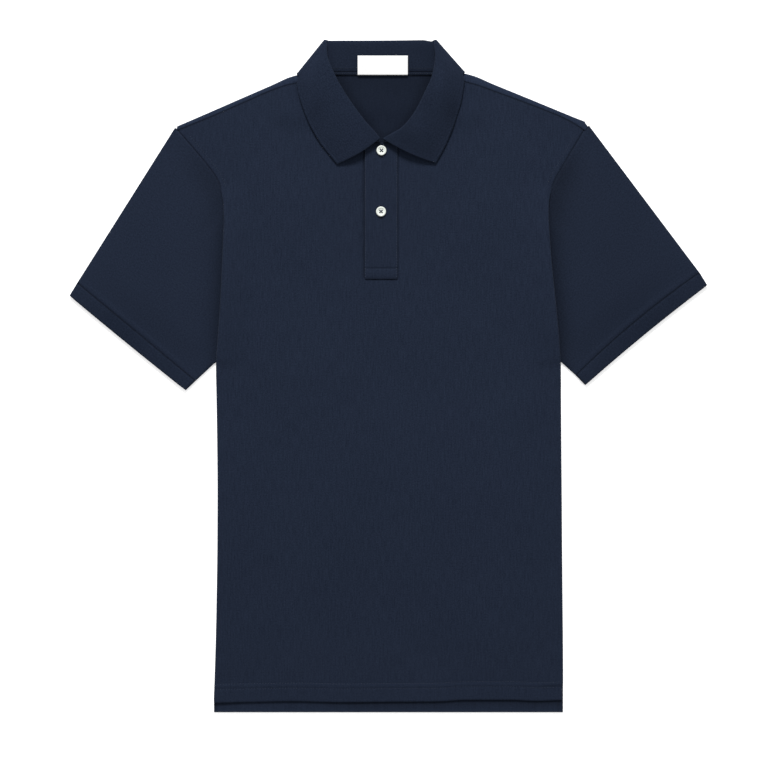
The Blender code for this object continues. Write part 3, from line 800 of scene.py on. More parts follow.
def front_z(x, y, x0, row_y):
    """Middle of the front's wall: its folded edges and the lift at the neck.

    x0 and row_y are the same place before the hem and the vents move it.
    """
    end_z = read(EDGE_FOLD, row_y, 1)
    crest_z = read(EDGE_FOLD, row_y, 2)
    inwards = edge_distance(x0, row_y)
    turn = np.arccos(np.clip(1.0 - inwards / EDGE_ROLL, -1.0, 1.0))
    curl = end_z + (crest_z - end_z) * np.sin(turn)
    fade = smooth((inwards - EDGE_ROLL) / CREST_FADE)
    rest = crest_z + (FRONT_Z - crest_z) * fade
    z = np.where(inwards < EDGE_ROLL, curl, rest)
    start, end, over = CREST_RANGE
    over_sleeve = smooth((row_y - start) / over) * smooth((end - row_y) / over)
    z += BODY_CREST * over_sleeve * smooth(1.0 - inwards / CREST_REACH)
    return z + neck_lift(x, y + FRONT_LIFT_AHEAD)


def front_waves(x, y):
    """Creases of the front, held away from the placket and the collar."""
    beside = smooth((np.abs(x - CREASES_CLEAR["x"]) - CREASES_CLEAR["half_width"]) / 30.0)
    below = smooth((CREASES_CLEAR["y"] - y) / 40.0)
    return creases(FRONT_CREASES, x, y) * np.maximum(beside, below)


def placket_troughs(x, y):
    """The front is drawn down a little along both edges of the placket, and below it."""
    along = smooth((y - BAND_LOW[1] + 1.5) / 2.0)
    sides = 0.65 * bell(x - BAND_LOW[0] + 0.4, 1.5) + 0.5 * bell(x - BAND_HIGH[0] - 0.5, 0.8)
    return -sides * along


CHEST_TONE = 0.985
# Painted shade on the front: how much darker it is painted at each place
FRONT_PAINTED_SHADE = {
    "low body": 0.035,
    "placket's left": 0.36,
    "placket's right": 0.22,
    "shoulder": 0.45,
    "armhole": 0.30,
}


def front_tone(x, y, row_y, inwards):
    """Painted shade on the front: a shadow beside the placket's left edge, shade in the seams at the
    placket's right edge, the shoulders and the armholes, and the lower body a little darker than the chest.
    """
    tone = CHEST_TONE - FRONT_PAINTED_SHADE["low body"] * smooth((-80.0 - y) / 160.0)
    beside = smooth(y - BAND_LOW[1])
    left, right = BAND_LOW[0] - x, x - BAND_HIGH[0]
    fading = np.exp(-np.clip(left, 0.0, None) / 1.9) * (left > -3.0)
    tone -= FRONT_PAINTED_SHADE["placket's left"] * fading * beside
    tone -= FRONT_PAINTED_SHADE["placket's right"] * bell(right - 0.3, 0.6) * beside
    tone -= FRONT_PAINTED_SHADE["shoulder"] * bell(ARMHOLE_TOP_Y - row_y, 1.1) * ~in_neck(x)
    return tone - FRONT_PAINTED_SHADE["armhole"] * bell(inwards, 0.9) * sewn(row_y, "body")


def hem_y(x):
    """Where the front's uneven lower edge lies."""
    return FRONT_HEM_Y + read(HEM_WAVE, x, 1)


def hem_profile(above):
    """Height of the front near its hem: the turned edge, the doubled cloth and the sunk stitch rows."""
    level = -0.55 * bell(above, 0.7)
    level += 0.35 * smooth((HEM_ROWS[1] + 1.0 - above) / 2.0)
    for row in HEM_ROWS:
        level -= 0.22 * bell(above - row, 0.9)
    level += 0.18 * bell(above - (HEM_ROWS[0] + HEM_ROWS[1]) / 2, 1.4)
    return level


def seam_dip(distance, depth, width):
    """The cloth turns down into a seam."""
    return -depth * bell(np.maximum(distance, 0.0), width)


def build_front():
    """The front: folded side edges, uneven hem, right vent, and the slit that the placket closes."""
    slit_left, slit_right, slit_end = UNDER_LOW[0] - SEAM, UNDER_HIGH[0] + SEAM, UNDER_LOW[1] - SEAM
    side = HALF - EDGE_ZONES[1]
    columns = body_columns((-side, -STRAIGHT, 3.3), (-STRAIGHT, -34, 2.9), (-34, slit_left, 0.8),
                           (slit_left, slit_right, 3.2), (slit_right, 15, 0.6), (15, STRAIGHT, 3.0),
                           (STRAIGHT, side, 3.3))
    seam_rows = ARMHOLE_TOP_Y - 8
    rows = body_rows(FRONT_HEM_Y, (FRONT_HEM_Y + HEM_ZONE, UNDERARM_Y, 3.4),
                     (UNDERARM_Y, seam_rows, 3.2), (seam_rows, ARMHOLE_TOP_Y, 0.8))
    x0, y0, row_y = body_grid(columns, rows, front_top_y)
    above = row_y - FRONT_HEM_Y
    y = y0 + (hem_y(x0) - FRONT_HEM_Y) * smooth(1.0 - above / HEM_WAVE_REACH)
    vent = smooth((VENT_TOP + 2.0 - above) / 4.0) * smooth((x0 - VENT_FROM_X) / 45.0)
    x = x0 - VENT_STEP * vent
    inwards = edge_distance(x0, row_y)
    z = front_z(x, y, x0, row_y) - VENT_SINK * vent
    z += front_waves(x, y) + placket_troughs(x, y) + hem_profile(above)
    z += seam_dip(inwards, *ARMHOLE_DIP) * sewn(row_y, "body")
    z += np.where(in_neck(x0), 0.0, seam_dip(ARMHOLE_TOP_Y - row_y, *SHOULDER_DIP))
    tone = front_tone(x, y, row_y, inwards)
    centre_x = (x[:-1, :-1] + x[1:, 1:]) / 2
    centre_y = (y[:-1, :-1] + y[1:, 1:]) / 2
    slit = (centre_x > slit_left) & (centre_x < slit_right) & (centre_y > slit_end)
    return cloth("front_cloth", np.stack([x, y, z], -1), np.stack([x, y], -1), PIQUE, PIQUE_CLOTH,
                 ["front"], keep=~slit, tone=tone)


def neck_shade(x, y):
    """How much darker the back's inside is in the neck: towards the collar stand and beside the leaves."""
    left_x = np.interp(y, [row[4] for row in LEAF_LEFT], [row[3] for row in LEAF_LEFT])
    right_x = np.interp(y, [row[4] for row in LEAF_RIGHT], [row[3] for row in LEAF_RIGHT])
    from_leaf = np.clip(np.minimum(x - left_x, right_x - x), 0.0, None)
    shade = 0.03 + 0.15 * smooth((y - 290.0) / 50.0) + 0.17 * bell(from_leaf, 8.0)
    return shade * smooth((y - 255.0) / 10.0)


def hem_shade(x, y):
    """How much darker the back's hem is just below the front's, deepest from the middle to the right."""
    below = hem_y(x) - y
    middle = smooth((x + 110.0) / 90.0)
    reach = 4.2 + 2.6 * middle
    shade = (0.28 + 0.20 * middle) * np.exp(-(np.clip(below, 0.0, None) / reach) ** 1.4)
    return shade * smooth((below + 0.8) / 2.0) * (y < FRONT_HEM_Y + 4.0)


def back_tone(x, y):
    """The back's tone: the shade in the neck and below the front's hem, and its hem's two short seams."""
    left, right = BODY_EDGE[0][1] + LEFT_HEM_SEAM, BODY_EDGE[0][2] - RIGHT_HEM_SEAM
    seams = smooth((left - x) / 0.8) + 1.4 * bell(x - right, 0.7)
    return 1.0 - neck_shade(x, y) - hem_shade(x, y) - HEM_SEAM_SHADE * seams * (y < FRONT_HEM_Y)


UNDER_SHARES = (0.33, 0.67, 1.0)
ROLL_ANGLES = (20, 45, 70, 90, 110, 135, 160, 180)
STRIP_SHARES = (0.2, 0.4, 0.6, 0.75, 0.86, 0.94, 1.0)
TIP_START = 0.2        # share of a tip's reach at the fold; it is fully out a little way down the strip


def tip_reach(x_top):
    """How far the shoulder strips' ends reach past the armholes, at each column."""
    left = smooth((x_top[0] + SHOULDER_TIP_OVER - x_top) / SHOULDER_TIP_OVER)
    right = smooth((x_top - x_top[-1] + SHOULDER_TIP_OVER) / SHOULDER_TIP_OVER)
    return SHOULDER_TIPS["left"] * left + SHOULDER_TIPS["right"] * right


def rows_up_to(last_y, x_top, first_y):
    """Rows of the back from its grid's last row up to the shoulder folds and the neck, with their tones."""
    rows, tones = [], []
    for share in UNDER_SHARES:
        row = first_y + (last_y - first_y) * share
        rows.append((x_top + TIP_START * tip_reach(x_top), row, BACK_Z + neck_lift(x_top, row)))
        tones.append(back_tone(x_top, row))
    return rows, tones


def strip_over(fold_y, x_top, base_z):
    """Rows of the back round its shoulder folds and on down to the forward seams, with their tones: painted
    light on the folds, painted shade at the seams.
    """
    tips = tip_reach(x_top)
    half = (FRONT_Z - BACK_Z) / 2
    rows, tones = [], []
    for turn in np.radians(ROLL_ANGLES):
        row = fold_y + SHOULDER_ROLL * math.sin(turn)
        rows.append((x_top + TIP_START * tips, row, base_z + half * (1 - math.cos(turn))))
        tones.append(np.full(len(x_top), STRIP_PAINTED_LIGHT))
    seam_y = read(SHOULDERS, x_top, 2) + SEAM - 0.15 * np.maximum(tips, 0.0)
    for share in STRIP_SHARES:
        row = fold_y + (seam_y - fold_y) * share
        swell = 0.25 * math.sin(math.pi * share) + seam_dip(row - seam_y, *STRIP_DIP)
        reach = TIP_START + min(share / 0.45, (1.05 - share) / 0.6)
        rows.append((x_top + tips * reach, row, FRONT_Z + neck_lift(x_top, row) + swell))
        tones.append(STRIP_PAINTED_LIGHT - 0.5 * bell(row - seam_y, 0.8))
    return rows, tones


def build_back():
    """The back: its panel, then the strip that folds over each shoulder to the forward seam."""
    columns = body_columns((-HALF + EDGE_ZONES[1], HALF - EDGE_ZONES[1], 3.3))
    rows = body_rows(BACK_HEM_Y, (BACK_HEM_Y + HEM_ZONE, UNDERARM_Y, 3.5), (UNDERARM_Y, ARMHOLE_TOP_Y, 3.3))
    x, y, row_y = body_grid(columns, rows, back_top_y)
    end_z = read(EDGE_FOLD, row_y, 3)
    inwards = edge_distance(x, row_y)
    turn = np.arccos(np.clip(1.0 - inwards / EDGE_ROLL, 0.0, 1.0))
    above = row_y - BACK_HEM_Y
    z = BACK_Z + (end_z - BACK_Z) * (1.0 - np.sin(turn)) + neck_lift(x, y)
    z += creases(BACK_CREASES, x, y) * smooth((above - 30.0) / 40.0)
    z += 0.12 * bell(above - HEM_ROWS[0], 0.9) + 0.12 * bell(above - HEM_ROWS[1], 0.9)
    x_top = body_x(columns, np.full_like(columns, ARMHOLE_TOP_Y))
    neck = in_neck(x_top)
    fold_y = read(SHOULDERS, x_top, 1) - PIQUE / 2 - SHOULDER_ROLL
    last_y = np.where(neck, BACK_NECK_Y, fold_y)
    under, under_tones = rows_up_to(last_y, x_top, y[-1])
    over, over_tones = strip_over(fold_y, x_top, BACK_Z + neck_lift(x_top, last_y))
    points = np.concatenate([np.stack([x, y, z], -1), np.moveaxis(np.array(under + over), 1, -1)])
    first_over = len(rows) + len(under)
    kept = np.ones((len(points) - 1, len(columns) - 1), bool)
    kept[first_over - 1:, :] = ~(neck[:-1] | neck[1:])
    flat = points[..., :2].copy()
    flat[first_over:, :, 1] = 2 * last_y - flat[first_over:, :, 1] + 2 * SHOULDER_ROLL
    piece = cloth("back_cloth", points, flat, PIQUE, PIQUE_INSIDE, ["back"], keep=kept,
                  tone=np.concatenate([back_tone(x, y), np.array(under_tones + over_tones)]))
    piece.data.materials.append(PIQUE_CLOTH)
    piece.modifiers["wall"].material_offset = 1
    piece.modifiers["wall"].material_offset_rim = 1
    for face in piece.data.polygons:
        if face.center.y < (BACK_HEM_Y + HEM_ROWS[1] + 1.0) * MM:
            face.material_index = 1
    return piece


# ---------------------------------------------------------------- sleeves and their bands


def armhole_line(sleeve, underlap, shares):
    """The sleeve's armhole edge from the underarm to the shoulder, beside the body's edge."""
    column = 1 if sleeve["side"] < 0 else 2
    none_low, full_low, full_high, none_high = UNDERLAP_RANGE
    y = np.arange(20.0, 280.5, 4.0)
    lap = smooth((y - none_low) / (full_low - none_low))
    lap *= smooth((none_high - y) / (none_high - full_high))
    gap = SLEEVE_SEAM * (1.0 - sewn(y, "gap"))
    x = read(BODY_EDGE, y, column) + sleeve["side"] * (gap - underlap * lap)
    line = np.vstack([[sleeve["armhole_start"]], np.stack([x, y], -1), [sleeve["armhole_end"]]])
    along = lengths_along(line)
    return np.stack([np.interp(shares * along[-1], along, line[:, k]) for k in (0, 1)], -1)


def bowed_line(ends, bow, shares):
    """Points on a line between two ends, bowed to the sleeve's side by a few millimetres."""
    start, end = np.array(ends[0]), np.array(ends[1])
    along = (end - start) / np.linalg.norm(end - start)
    upwards = np.array([-along[1], along[0]])
    if upwards[1] < 0:
        upwards = -upwards
    bowed = bow * 4.0 * shares * (1.0 - shares)
    return start + np.outer(shares, end - start) + np.outer(bowed, upwards)


RING_SHARES = np.linspace(0.0, 1.0, 90)
RING_INSET_SHARE = 0.06     # a ring's ends are drawn in over this share of its width
TURN_STEPS = np.radians(np.arange(15, 180, 15))
UNDERSIDE_TONE = 0.97
EDGE_FULLNESS = 0.4         # soft folded edges stand this far out of their solids


def outward(edge_start, edge_end, inside):
    """Unit vector square to an edge, pointing away from a point inside."""
    along = (edge_end - edge_start) / np.linalg.norm(edge_end - edge_start)
    away = np.array([-along[1], along[0]])
    return -away if np.dot(away, inside - edge_start) > 0 else away


def flat_ring(top, bottom, low_out, high_out, wall, low_z, high_z, lift):
    """A flattened tube's ring: the top layer, round the far edge, the bottom layer, round the near edge."""
    radius = (high_z - low_z) / 2
    middle = (high_z + low_z) / 2
    inset = radius + wall / 2 - EDGE_FULLNESS

    def shifted(points):
        moved = points.copy()
        shares = np.linspace(0.0, 1.0, len(points))
        moved -= np.outer(np.clip(1.0 - shares / RING_INSET_SHARE, 0.0, 1.0), low_out) * inset
        moved -= np.outer(np.clip(1.0 - (1.0 - shares) / RING_INSET_SHARE, 0.0, 1.0), high_out) * inset
        return moved

    upper, lower = shifted(top), shifted(bottom)
    ring = [np.column_stack([upper, high_z + lift])]
    for turn in TURN_STEPS:
        place = upper[-1] + (lower[-1] - upper[-1]) * turn / math.pi + high_out * radius * math.sin(turn)
        ring.append(np.array([[*place, middle + radius * math.cos(turn)]]))
    ring.append(np.column_stack([lower, np.full(len(lower), low_z)])[::-1])
    for turn in TURN_STEPS:
        place = lower[0] + (upper[0] - lower[0]) * turn / math.pi + low_out * radius * math.sin(turn)
        ring.append(np.array([[*place, middle - radius * math.cos(turn)]]))
    return np.concatenate(ring)


def ring_flat(points, start, end):
    """Cloth coordinates of a tube: the way round each ring, and the way from its start to its end."""
    axis = end.mean(0) - start.mean(0)
    axis /= np.linalg.norm(axis)
    closed = np.concatenate([points, points[:, :1]], axis=1)
    steps = np.linalg.norm(np.diff(closed, axis=1), axis=-1)
    middle = len(points) // 2
    round_it = np.concatenate([[0.0], np.cumsum(steps[middle])])
    along = closed[..., 0] * axis[0] + closed[..., 1] * axis[1]
    return np.stack([np.broadcast_to(round_it, along.shape), along], -1)


def ring_tone(upper):
    """Tone round a flattened tube whose upper layer has these tones."""
    far, near = np.full(len(TURN_STEPS), upper[-1]), np.full(len(TURN_STEPS), upper[0])
    return np.concatenate([upper, far, np.full(len(upper), UNDERSIDE_TONE), near])


def sleeve_tone(sleeve, shown, up, from_cuff):
    """Painted shade on the sleeve: darker beside the body's edge, which stands over it, over a wider band
    near the shoulder, and in the cuff seam.
    """
    reach = 11.0 + 8.0 * smooth((up - 20.0) / 60.0) + 8.0 * smooth((up - 150.0) / 60.0)
    shade = sleeve["edge_shade"] * smooth((276.0 - up) / 50.0)
    tone = sleeve["tone"] - shade * bell(np.clip(shown, 0.0, None), reach)
    return tone - 0.5 * bell(from_cuff, 0.8)


def sleeve_puff(from_arm, from_cuff, sewn_on):
    """How high the sleeve's upper layer stands: full in the middle, drawn down at its seams."""
    crown = np.sin(math.pi * RING_SHARES) ** 0.6
    puff = SLEEVE_PUFF * smooth((from_arm - 6.0) / 38.0) * smooth(from_cuff / 40.0) * crown
    puff -= SLEEVE_SINK * smooth((24.0 - from_arm) / 16.0) * (1.0 - sewn_on)
    puff += 0.6 * bell(from_cuff - 4.0, 2.6) * crown - 0.9 * bell(from_cuff, 1.0)
    return puff + seam_dip(from_arm, *ARMHOLE_DIP) * sewn_on


def build_sleeve(side, sleeve):
    top_edge = armhole_line(sleeve, SLEEVE_UNDERLAP, RING_SHARES)
    bottom_edge = armhole_line(sleeve, 0.0, RING_SHARES)
    seam = bowed_line(sleeve["seam"], sleeve["bow"], RING_SHARES)
    middle = seam[len(seam) // 2]
    low_out = outward(bottom_edge[0], seam[0], middle)
    high_out = outward(bottom_edge[-1], seam[-1], middle)
    lap_y = bottom_edge[:, 1]
    covered = np.linalg.norm(top_edge - bottom_edge, axis=-1)
    rings, tones = [], []
    for step in lines((0.0, 0.04, 0.006), (0.04, 0.88, 0.02), (0.88, 1.0, 0.006)):
        top = top_edge + (seam - top_edge) * step
        bottom = bottom_edge + (seam - bottom_edge) * step
        from_arm = np.linalg.norm(top - top_edge, axis=-1)
        from_cuff = np.linalg.norm(seam - top, axis=-1)
        puff = sleeve_puff(from_arm, from_cuff, sewn(lap_y, "sleeve"))
        tones.append(ring_tone(sleeve_tone(sleeve, from_arm - covered, lap_y, from_cuff)))
        rings.append(flat_ring(top, bottom, low_out, high_out, PIQUE, BACK_Z, FRONT_Z, puff))
    points = np.array(rings)
    return cloth("sleeve_%s_cloth" % side, points, ring_flat(points, bottom_edge, seam), PIQUE, PIQUE_SLEEVE,
                 ["sleeve_" + side], ring=True, tone=np.array(tones))


def build_cuff(side, sleeve):
    low_z = CUFF_RIB / 2
    high_z = low_z + CUFF_RIB + CUFF_HOLLOW
    seam = bowed_line(sleeve["seam"], sleeve["bow"], RING_SHARES)
    hem = bowed_line(sleeve["hem"], sleeve["hem_bow"], RING_SHARES)
    depth = np.linalg.norm(hem - seam, axis=-1).mean()
    low_out = outward(seam[0], hem[0], seam[-1])
    high_out = outward(seam[-1], hem[-1], seam[0])
    rings, tones = [], []
    for step in lines((0.0, 0.2, 0.04), (0.2, 0.8, 0.1), (0.8, 1.0, 0.05)):
        line = seam + (hem - seam) * step
        away = depth * step
        lift = 0.25 * math.sin(math.pi * step) - bell(away, 1.0) - 0.3 * bell(depth - away, 0.9)
        lifts = np.full(len(line), lift)
        rings.append(flat_ring(line, line, low_out, high_out, CUFF_RIB, low_z, high_z, lifts))
        # Painted shade: the sleeve's darker tone, and a dark line in the cuff seam
        tones.append(ring_tone(np.full(len(line), sleeve["tone"] + 0.02 - 0.5 * bell(away, 0.8))))
    points = np.array(rings)
    return cloth("cuff_%s_rib" % side, points, ring_flat(points, seam, hem), CUFF_RIB, RIB_CLOTH,
                 ["cuff_" + side], ring=True, tone=np.array(tones))


# ---------------------------------------------------------------- collar

STAND_SHARES = np.linspace(0.0, 0.94, 12)
FOLD_ANGLES = np.linspace(-90.0, 90.0, 11)
FALL_SHARES = lines((0.04, 0.88, 0.04), (0.88, 1.0, 0.0085))


def collar_section(neck, fold, edge, turn, out, arch, bow=0.0):
    """A hairpin from the neck edge over the fold to the outer edge; turn tips it round the neck's side."""
    apart = Vector((math.sin(turn) * out[0], math.sin(turn) * out[1], math.cos(turn)))
    away = -((neck - fold).normalized() + (edge - fold).normalized())
    away -= away.dot(apart) * apart
    away.normalize()
    centre = fold - away * (FOLD_RADIUS + RIB / 2)
    stand_end = centre - apart * FOLD_RADIUS
    fall_start = centre + apart * FOLD_RADIUS
    points = [neck.lerp(stand_end, share) for share in STAND_SHARES]
    for angle in FOLD_ANGLES:
        bend = math.radians(angle)
        points.append(centre + (apart * math.sin(bend) + away * math.cos(bend)) * FOLD_RADIUS)
    for share in FALL_SHARES:
        hump = math.sin(math.pi * share)
        place = fall_start.lerp(edge, share) + apart * (arch * hump)
        points.append(place + Vector((0.0, -bow * hump, 0.0)))
    return [tuple(p) for p in points]


def wrap_sections(wrap, fold_shift):
    """Sections where the collar passes the side of the neck, from lying above to lying below."""
    sections = []
    out = Vector((*wrap["out"], 0.0))
    for angle in WRAP_ANGLES:
        turn = math.radians(angle)
        lifted = Vector((0, 0, 1)) * math.cos(turn) + out * math.sin(turn)
        corners = [Vector((*wrap[part], WRAP_Z[part])) + lifted * WRAP_RADIUS[part]
                   for part in ("neck", "fold", "edge")]
        corners[0].y += WRAP_NECK_SHIFT * angle / 180.0
        corners[1].x += fold_shift[0] * angle / 180.0
        corners[1].y += fold_shift[1] * angle / 180.0
        sections.append(collar_section(*corners, turn, wrap["out"], 0.0))
    return sections


def leaf_sections(rows, out):
    """Sections of a leaf from the front end up to the neck's side."""
    sections = []
    for row, arch, bow in zip(rows, LEAF_ARCHES, LEAF_END_BOWS):
        neck, fold, edge = Vector(row[0:3]), Vector(row[3:6]), Vector(row[6:9])
        sections.append(collar_section(neck, fold, edge, 0.0, out, arch, bow))
    return sections


def welt(distance):
    """The flat-knit's self edge: a narrow cord just inside it, with a groove behind."""
    return 0.22 * bell(distance - 1.2, 0.8) - 0.16 * bell(distance - 2.9, 0.7) - 0.25 * bell(distance, 0.5)


def leaf_patches(x, y):
    """Painted light and shade, and height, of the leaves' soft swells and hollows."""
    total = np.zeros_like(x)
    for patch_x, patch_y, half_width, half_height, change in LEAF_PATCHES:
        total += change * bell(np.hypot((x - patch_x) / half_width, (y - patch_y) / half_height), 1.0)
    return total


def neck_roll(from_neck):
    """The stand's lower edge turns down into the neck seam, with a shallow groove above its stitches."""
    return -0.9 * bell(from_neck, 2.2) - 0.12 * bell(from_neck - 8.6, 0.8)


def back_sections():
    """Sections behind the neck, where the stand lies above the fall."""
    fall_z = RIB / 2
    fold_z = fall_z + FOLD_RADIUS
    back = []
    for neck_x, neck_y, fold_x, fold_y, edge_x, edge_y in COLLAR_BACK:
        neck = Vector((neck_x, neck_y, WRAP_Z["neck"] - WRAP_RADIUS["neck"]))
        fold = Vector((fold_x, fold_y, fold_z))
        edge = Vector((edge_x, edge_y, fall_z))
        back.append(collar_section(neck, fold, edge, math.pi, (0.0, 1.0), 0.0))
    return back


def build_collar():
    """The collar in one piece, from the left leaf's front end round the neck to the right one's."""
    left = leaf_sections(LEAF_LEFT, WRAP_LEFT["out"]) + wrap_sections(WRAP_LEFT, WRAP_FOLD_SHIFT["left"])
    right = leaf_sections(LEAF_RIGHT, WRAP_RIGHT["out"]) + wrap_sections(WRAP_RIGHT, WRAP_FOLD_SHIFT["right"])
    coarse = np.array(left + back_sections() + right[::-1])
    steps = np.linalg.norm(np.diff(coarse, axis=0), axis=-1).mean(1)
    along = np.concatenate([[0.0], np.cumsum(steps)])
    total = along[-1]
    at = lines((0.0, 5.0, 0.6), (5.0, total - 5.0, 2.2), (total - 5.0, total, 0.6))
    points = hermite(along, coarse, at)
    normals = grid_normals(points)
    stand = len(STAND_SHARES)
    fall = stand + len(FOLD_ANGLES)
    across = np.array([lengths_along(section) for section in points])
    to_edge = across[:, -1:] - across
    from_end = np.minimum(at, total - at)[:, None]
    raised = np.zeros_like(to_edge)
    raised[:, fall:] = (welt(to_edge) * smooth(from_end / 4.0) - 0.3 * bell(from_end, 0.6))[:, fall:]
    patches = leaf_patches(points[..., 0], points[..., 1])
    patches[:, :fall] = 0.0
    sign = np.sign(normals[2, fall + 8, 2])      # a place on the left leaf, which faces up
    points = points + normals * (sign * (raised + PATCH_RISE * patches))[..., None]
    in_back = (at > along[len(left) - 1]) & (at < along[-len(right)])
    points[:, :stand, 2] += neck_roll(across[:, :stand]) * in_back[:, None]
    # Painted light and shade: each leaf lighter or darker, with its swells and hollows; the stand painted
    # darker, lighter by the fold and darkest at the neck seam
    side = smooth((points[..., 0] + 20.0) / 30.0)
    tone = LEAF_LIGHT_AND_SHADE["left"] + (LEAF_LIGHT_AND_SHADE["right"] - LEAF_LIGHT_AND_SHADE["left"]) * side + patches
    from_fold = np.clip(across[:, stand:stand + 1] - across[:, :stand], 0.0, None)
    tone[:, :stand] = STAND_PAINTED_SHADE + 0.14 * bell(from_fold, 3.0) - 0.35 * bell(across[:, :stand], 2.0)
    flat = np.stack([np.broadcast_to(at[:, None], across.shape), across], -1)
    return cloth("collar_rib", points, flat, RIB, RIB_CLOTH, ["collar"], tone=tone)


# ---------------------------------------------------------------- placket, tape, label and buttons


BOX_TOP = 12.4           # the box's upper stitch line, above the placket's lower end
BOX_ROW = 1.6            # its rows of stitches stand this far in from both its ends
BAND_STITCH = {"left": 1.1, "right": 1.6}


def build_placket():
    """The outer band: edges and stitch lines sunk, its left edge lifted, and the box at its foot."""
    low_x, high_x = BAND_LOW[0], BAND_HIGH[0]
    low_y = BAND_LOW[1]
    inset = BAND / 2
    columns = lines((low_x + inset, low_x + 3, 0.3), (low_x + 3, high_x - 3, 1.6),
                    (high_x - 3, high_x - inset, 0.3))
    rows = lines((0.0, 2.0, 0.35), (2.0, BOX_TOP + 2, 0.7), (BOX_TOP + 2, 150.0, 2.0))
    top = neck_edge_y(columns) - 2 * SEAM
    share = rows[:, None] / rows[-1]
    y = low_y + inset + share * (top[None, :] - low_y - inset)
    x = np.broadcast_to(columns, y.shape)
    above = y - low_y
    left, right = x - low_x, high_x - x
    z = np.full_like(y, BAND_Z)
    z -= 0.10 * bell(left - BAND_STITCH["left"], 0.6) + 0.12 * bell(right - BAND_STITCH["right"], 0.6)
    z += 0.7 * smooth((12.0 - left) / 12.0) * smooth((above - 14.0) / 20.0)
    z -= 0.4 * bell(left - inset, 0.35) + 0.4 * bell(right - inset, 0.35)
    z -= 0.6 * bell(above - BOX_TOP, 1.0) + 0.3 * bell(above - BOX_ROW, 0.7)
    z -= 0.5 * bell(above - inset, 0.4)
    z += 0.45 * bell(above - BOX_TOP / 2, 4.5) * smooth(left / 5.0) * smooth(right / 5.0)
    z += 0.20 * smooth((above - BOX_TOP) / 8.0) * smooth(left / 6.0) * smooth(right / 6.0)
    # Painted shade: in the box's upper stitch line, along the right edge's seam, and towards the placket's
    # top by the collar
    tone = 0.95 - 0.14 * bell(above - BOX_TOP, 1.0) - 0.22 * bell(right - inset, 0.5)
    tone -= 0.45 * bell(top[None, :] - y, 6.0)
    return cloth("placket_top_cloth", np.stack([x, y, z], -1), np.stack([x, y], -1), BAND, PIQUE_CLOTH,
                 ["placket_top"], tone=tone)


def build_under_placket():
    """The band that carries the buttons, flat under the outer one."""
    inset = PIQUE / 2
    columns = lines((UNDER_LOW[0] + inset, UNDER_HIGH[0] - inset, 2.0))
    top = neck_edge_y(columns) - 2 * SEAM
    share = np.linspace(0.0, 1.0, 70)[:, None]
    y = UNDER_LOW[1] + inset + share * (top[None, :] - UNDER_LOW[1] - inset)
    x = np.broadcast_to(columns, y.shape)
    points = np.stack([x, y, np.full_like(y, FRONT_Z)], -1)
    return cloth("placket_under_cloth", points, np.stack([x, y], -1), PIQUE, PIQUE_CLOTH,
                 ["placket_under"])


def build_tape():
    """The narrow binding over the back neck seam: two soft folds with a stitched groove between."""
    middle_z = (TAPE_LOW[2] + TAPE_HIGH[2]) / 2
    half = (TAPE_HIGH[1] - TAPE_LOW[1]) / 2 - TAPE / 2
    x, across = np.meshgrid(lines((TAPE_LOW[0] + TAPE / 2, TAPE_HIGH[0] - TAPE / 2, 2.5)),
                            np.linspace(-1.0, 1.0, 13))
    y = TAPE_MIDDLE_Y + across * half
    z = middle_z - np.where(across < 0, 1.1, 0.55) * np.abs(across) ** 3 - 0.25 * bell(across, 0.3)
    # tone 0.80 is painted shade: the tape is darkened as it lies in the collar stand's shade
    points = np.stack([x, y, z], -1)
    return cloth("neck_tape_cloth", points, np.stack([x, y], -1), TAPE, PIQUE_INSIDE,
                 ["neck_tape"], tone=0.80)


def build_label():
    """A bare woven label, its two ends turned under and caught down."""
    low, high = LABEL_LOW + TAPE / 2, LABEL_HIGH - TAPE / 2
    columns = lines((low[0], low[0] + 5, 0.5), (low[0] + 5, high[0] - 5, 1.6), (high[0] - 5, high[0], 0.5))
    x, y = np.meshgrid(columns, np.linspace(low[1], high[1], 21))
    ends = np.minimum(x - low[0], high[0] - x)
    up = (y - low[1]) / (high[1] - low[1])
    z = (low[2] + high[2]) / 2 + 0.3 * np.sin(math.pi * up)
    z -= 0.15 * bell(ends - 2.6, 0.6) + 0.2 * bell(ends, 0.5)
    points = np.stack([x, y, z], -1)
    piece = cloth("label_woven", points, np.stack([x, y], -1), WOVEN_LABEL, WOVEN, ["label"])
    stitches = []
    for edge in (low[0] + 1.3, high[0] - 1.3):
        stitches.append([(edge, low[1] + 0.6, high[2] + 0.1), (edge, high[1] - 0.6, high[2] + 0.1)])
    rows = stitch_rows("label_stitches", stitches, WHITE_THREAD, 2.0, 1.6, 0.35)
    return piece, rows


THREAD_HOLE_RADIUS = 0.85
THREAD_HOLE_PLACE = 1.3      # from the button's centre, both ways
THREAD_HOLE_SIDES = 20
BUTTON_DISH = 0.85           # the middle of the button's face lies this far below its rim
BUTTON_SEGMENTS = 72


def button_profile(radius, height):
    """Half section of a button from its centre out over the rim and back under, radius and height in mm."""
    dish = height - BUTTON_DISH
    face = [(0.0, dish), (radius - 2.6, dish), (radius - 2.1, dish + 0.1), (radius - 1.75, height - 0.35),
            (radius - 1.45, height - 0.08), (radius - 1.05, height), (radius - 0.6, height - 0.12),
            (radius - 0.22, height - 0.5), (radius - 0.03, height - 1.0)]
    underside = [(radius, height - 1.35), (radius - 0.2, 0.55), (radius - 0.8, 0.08), (radius - 1.3, 0.0),
                 (0.0, 0.0)]
    return face + underside


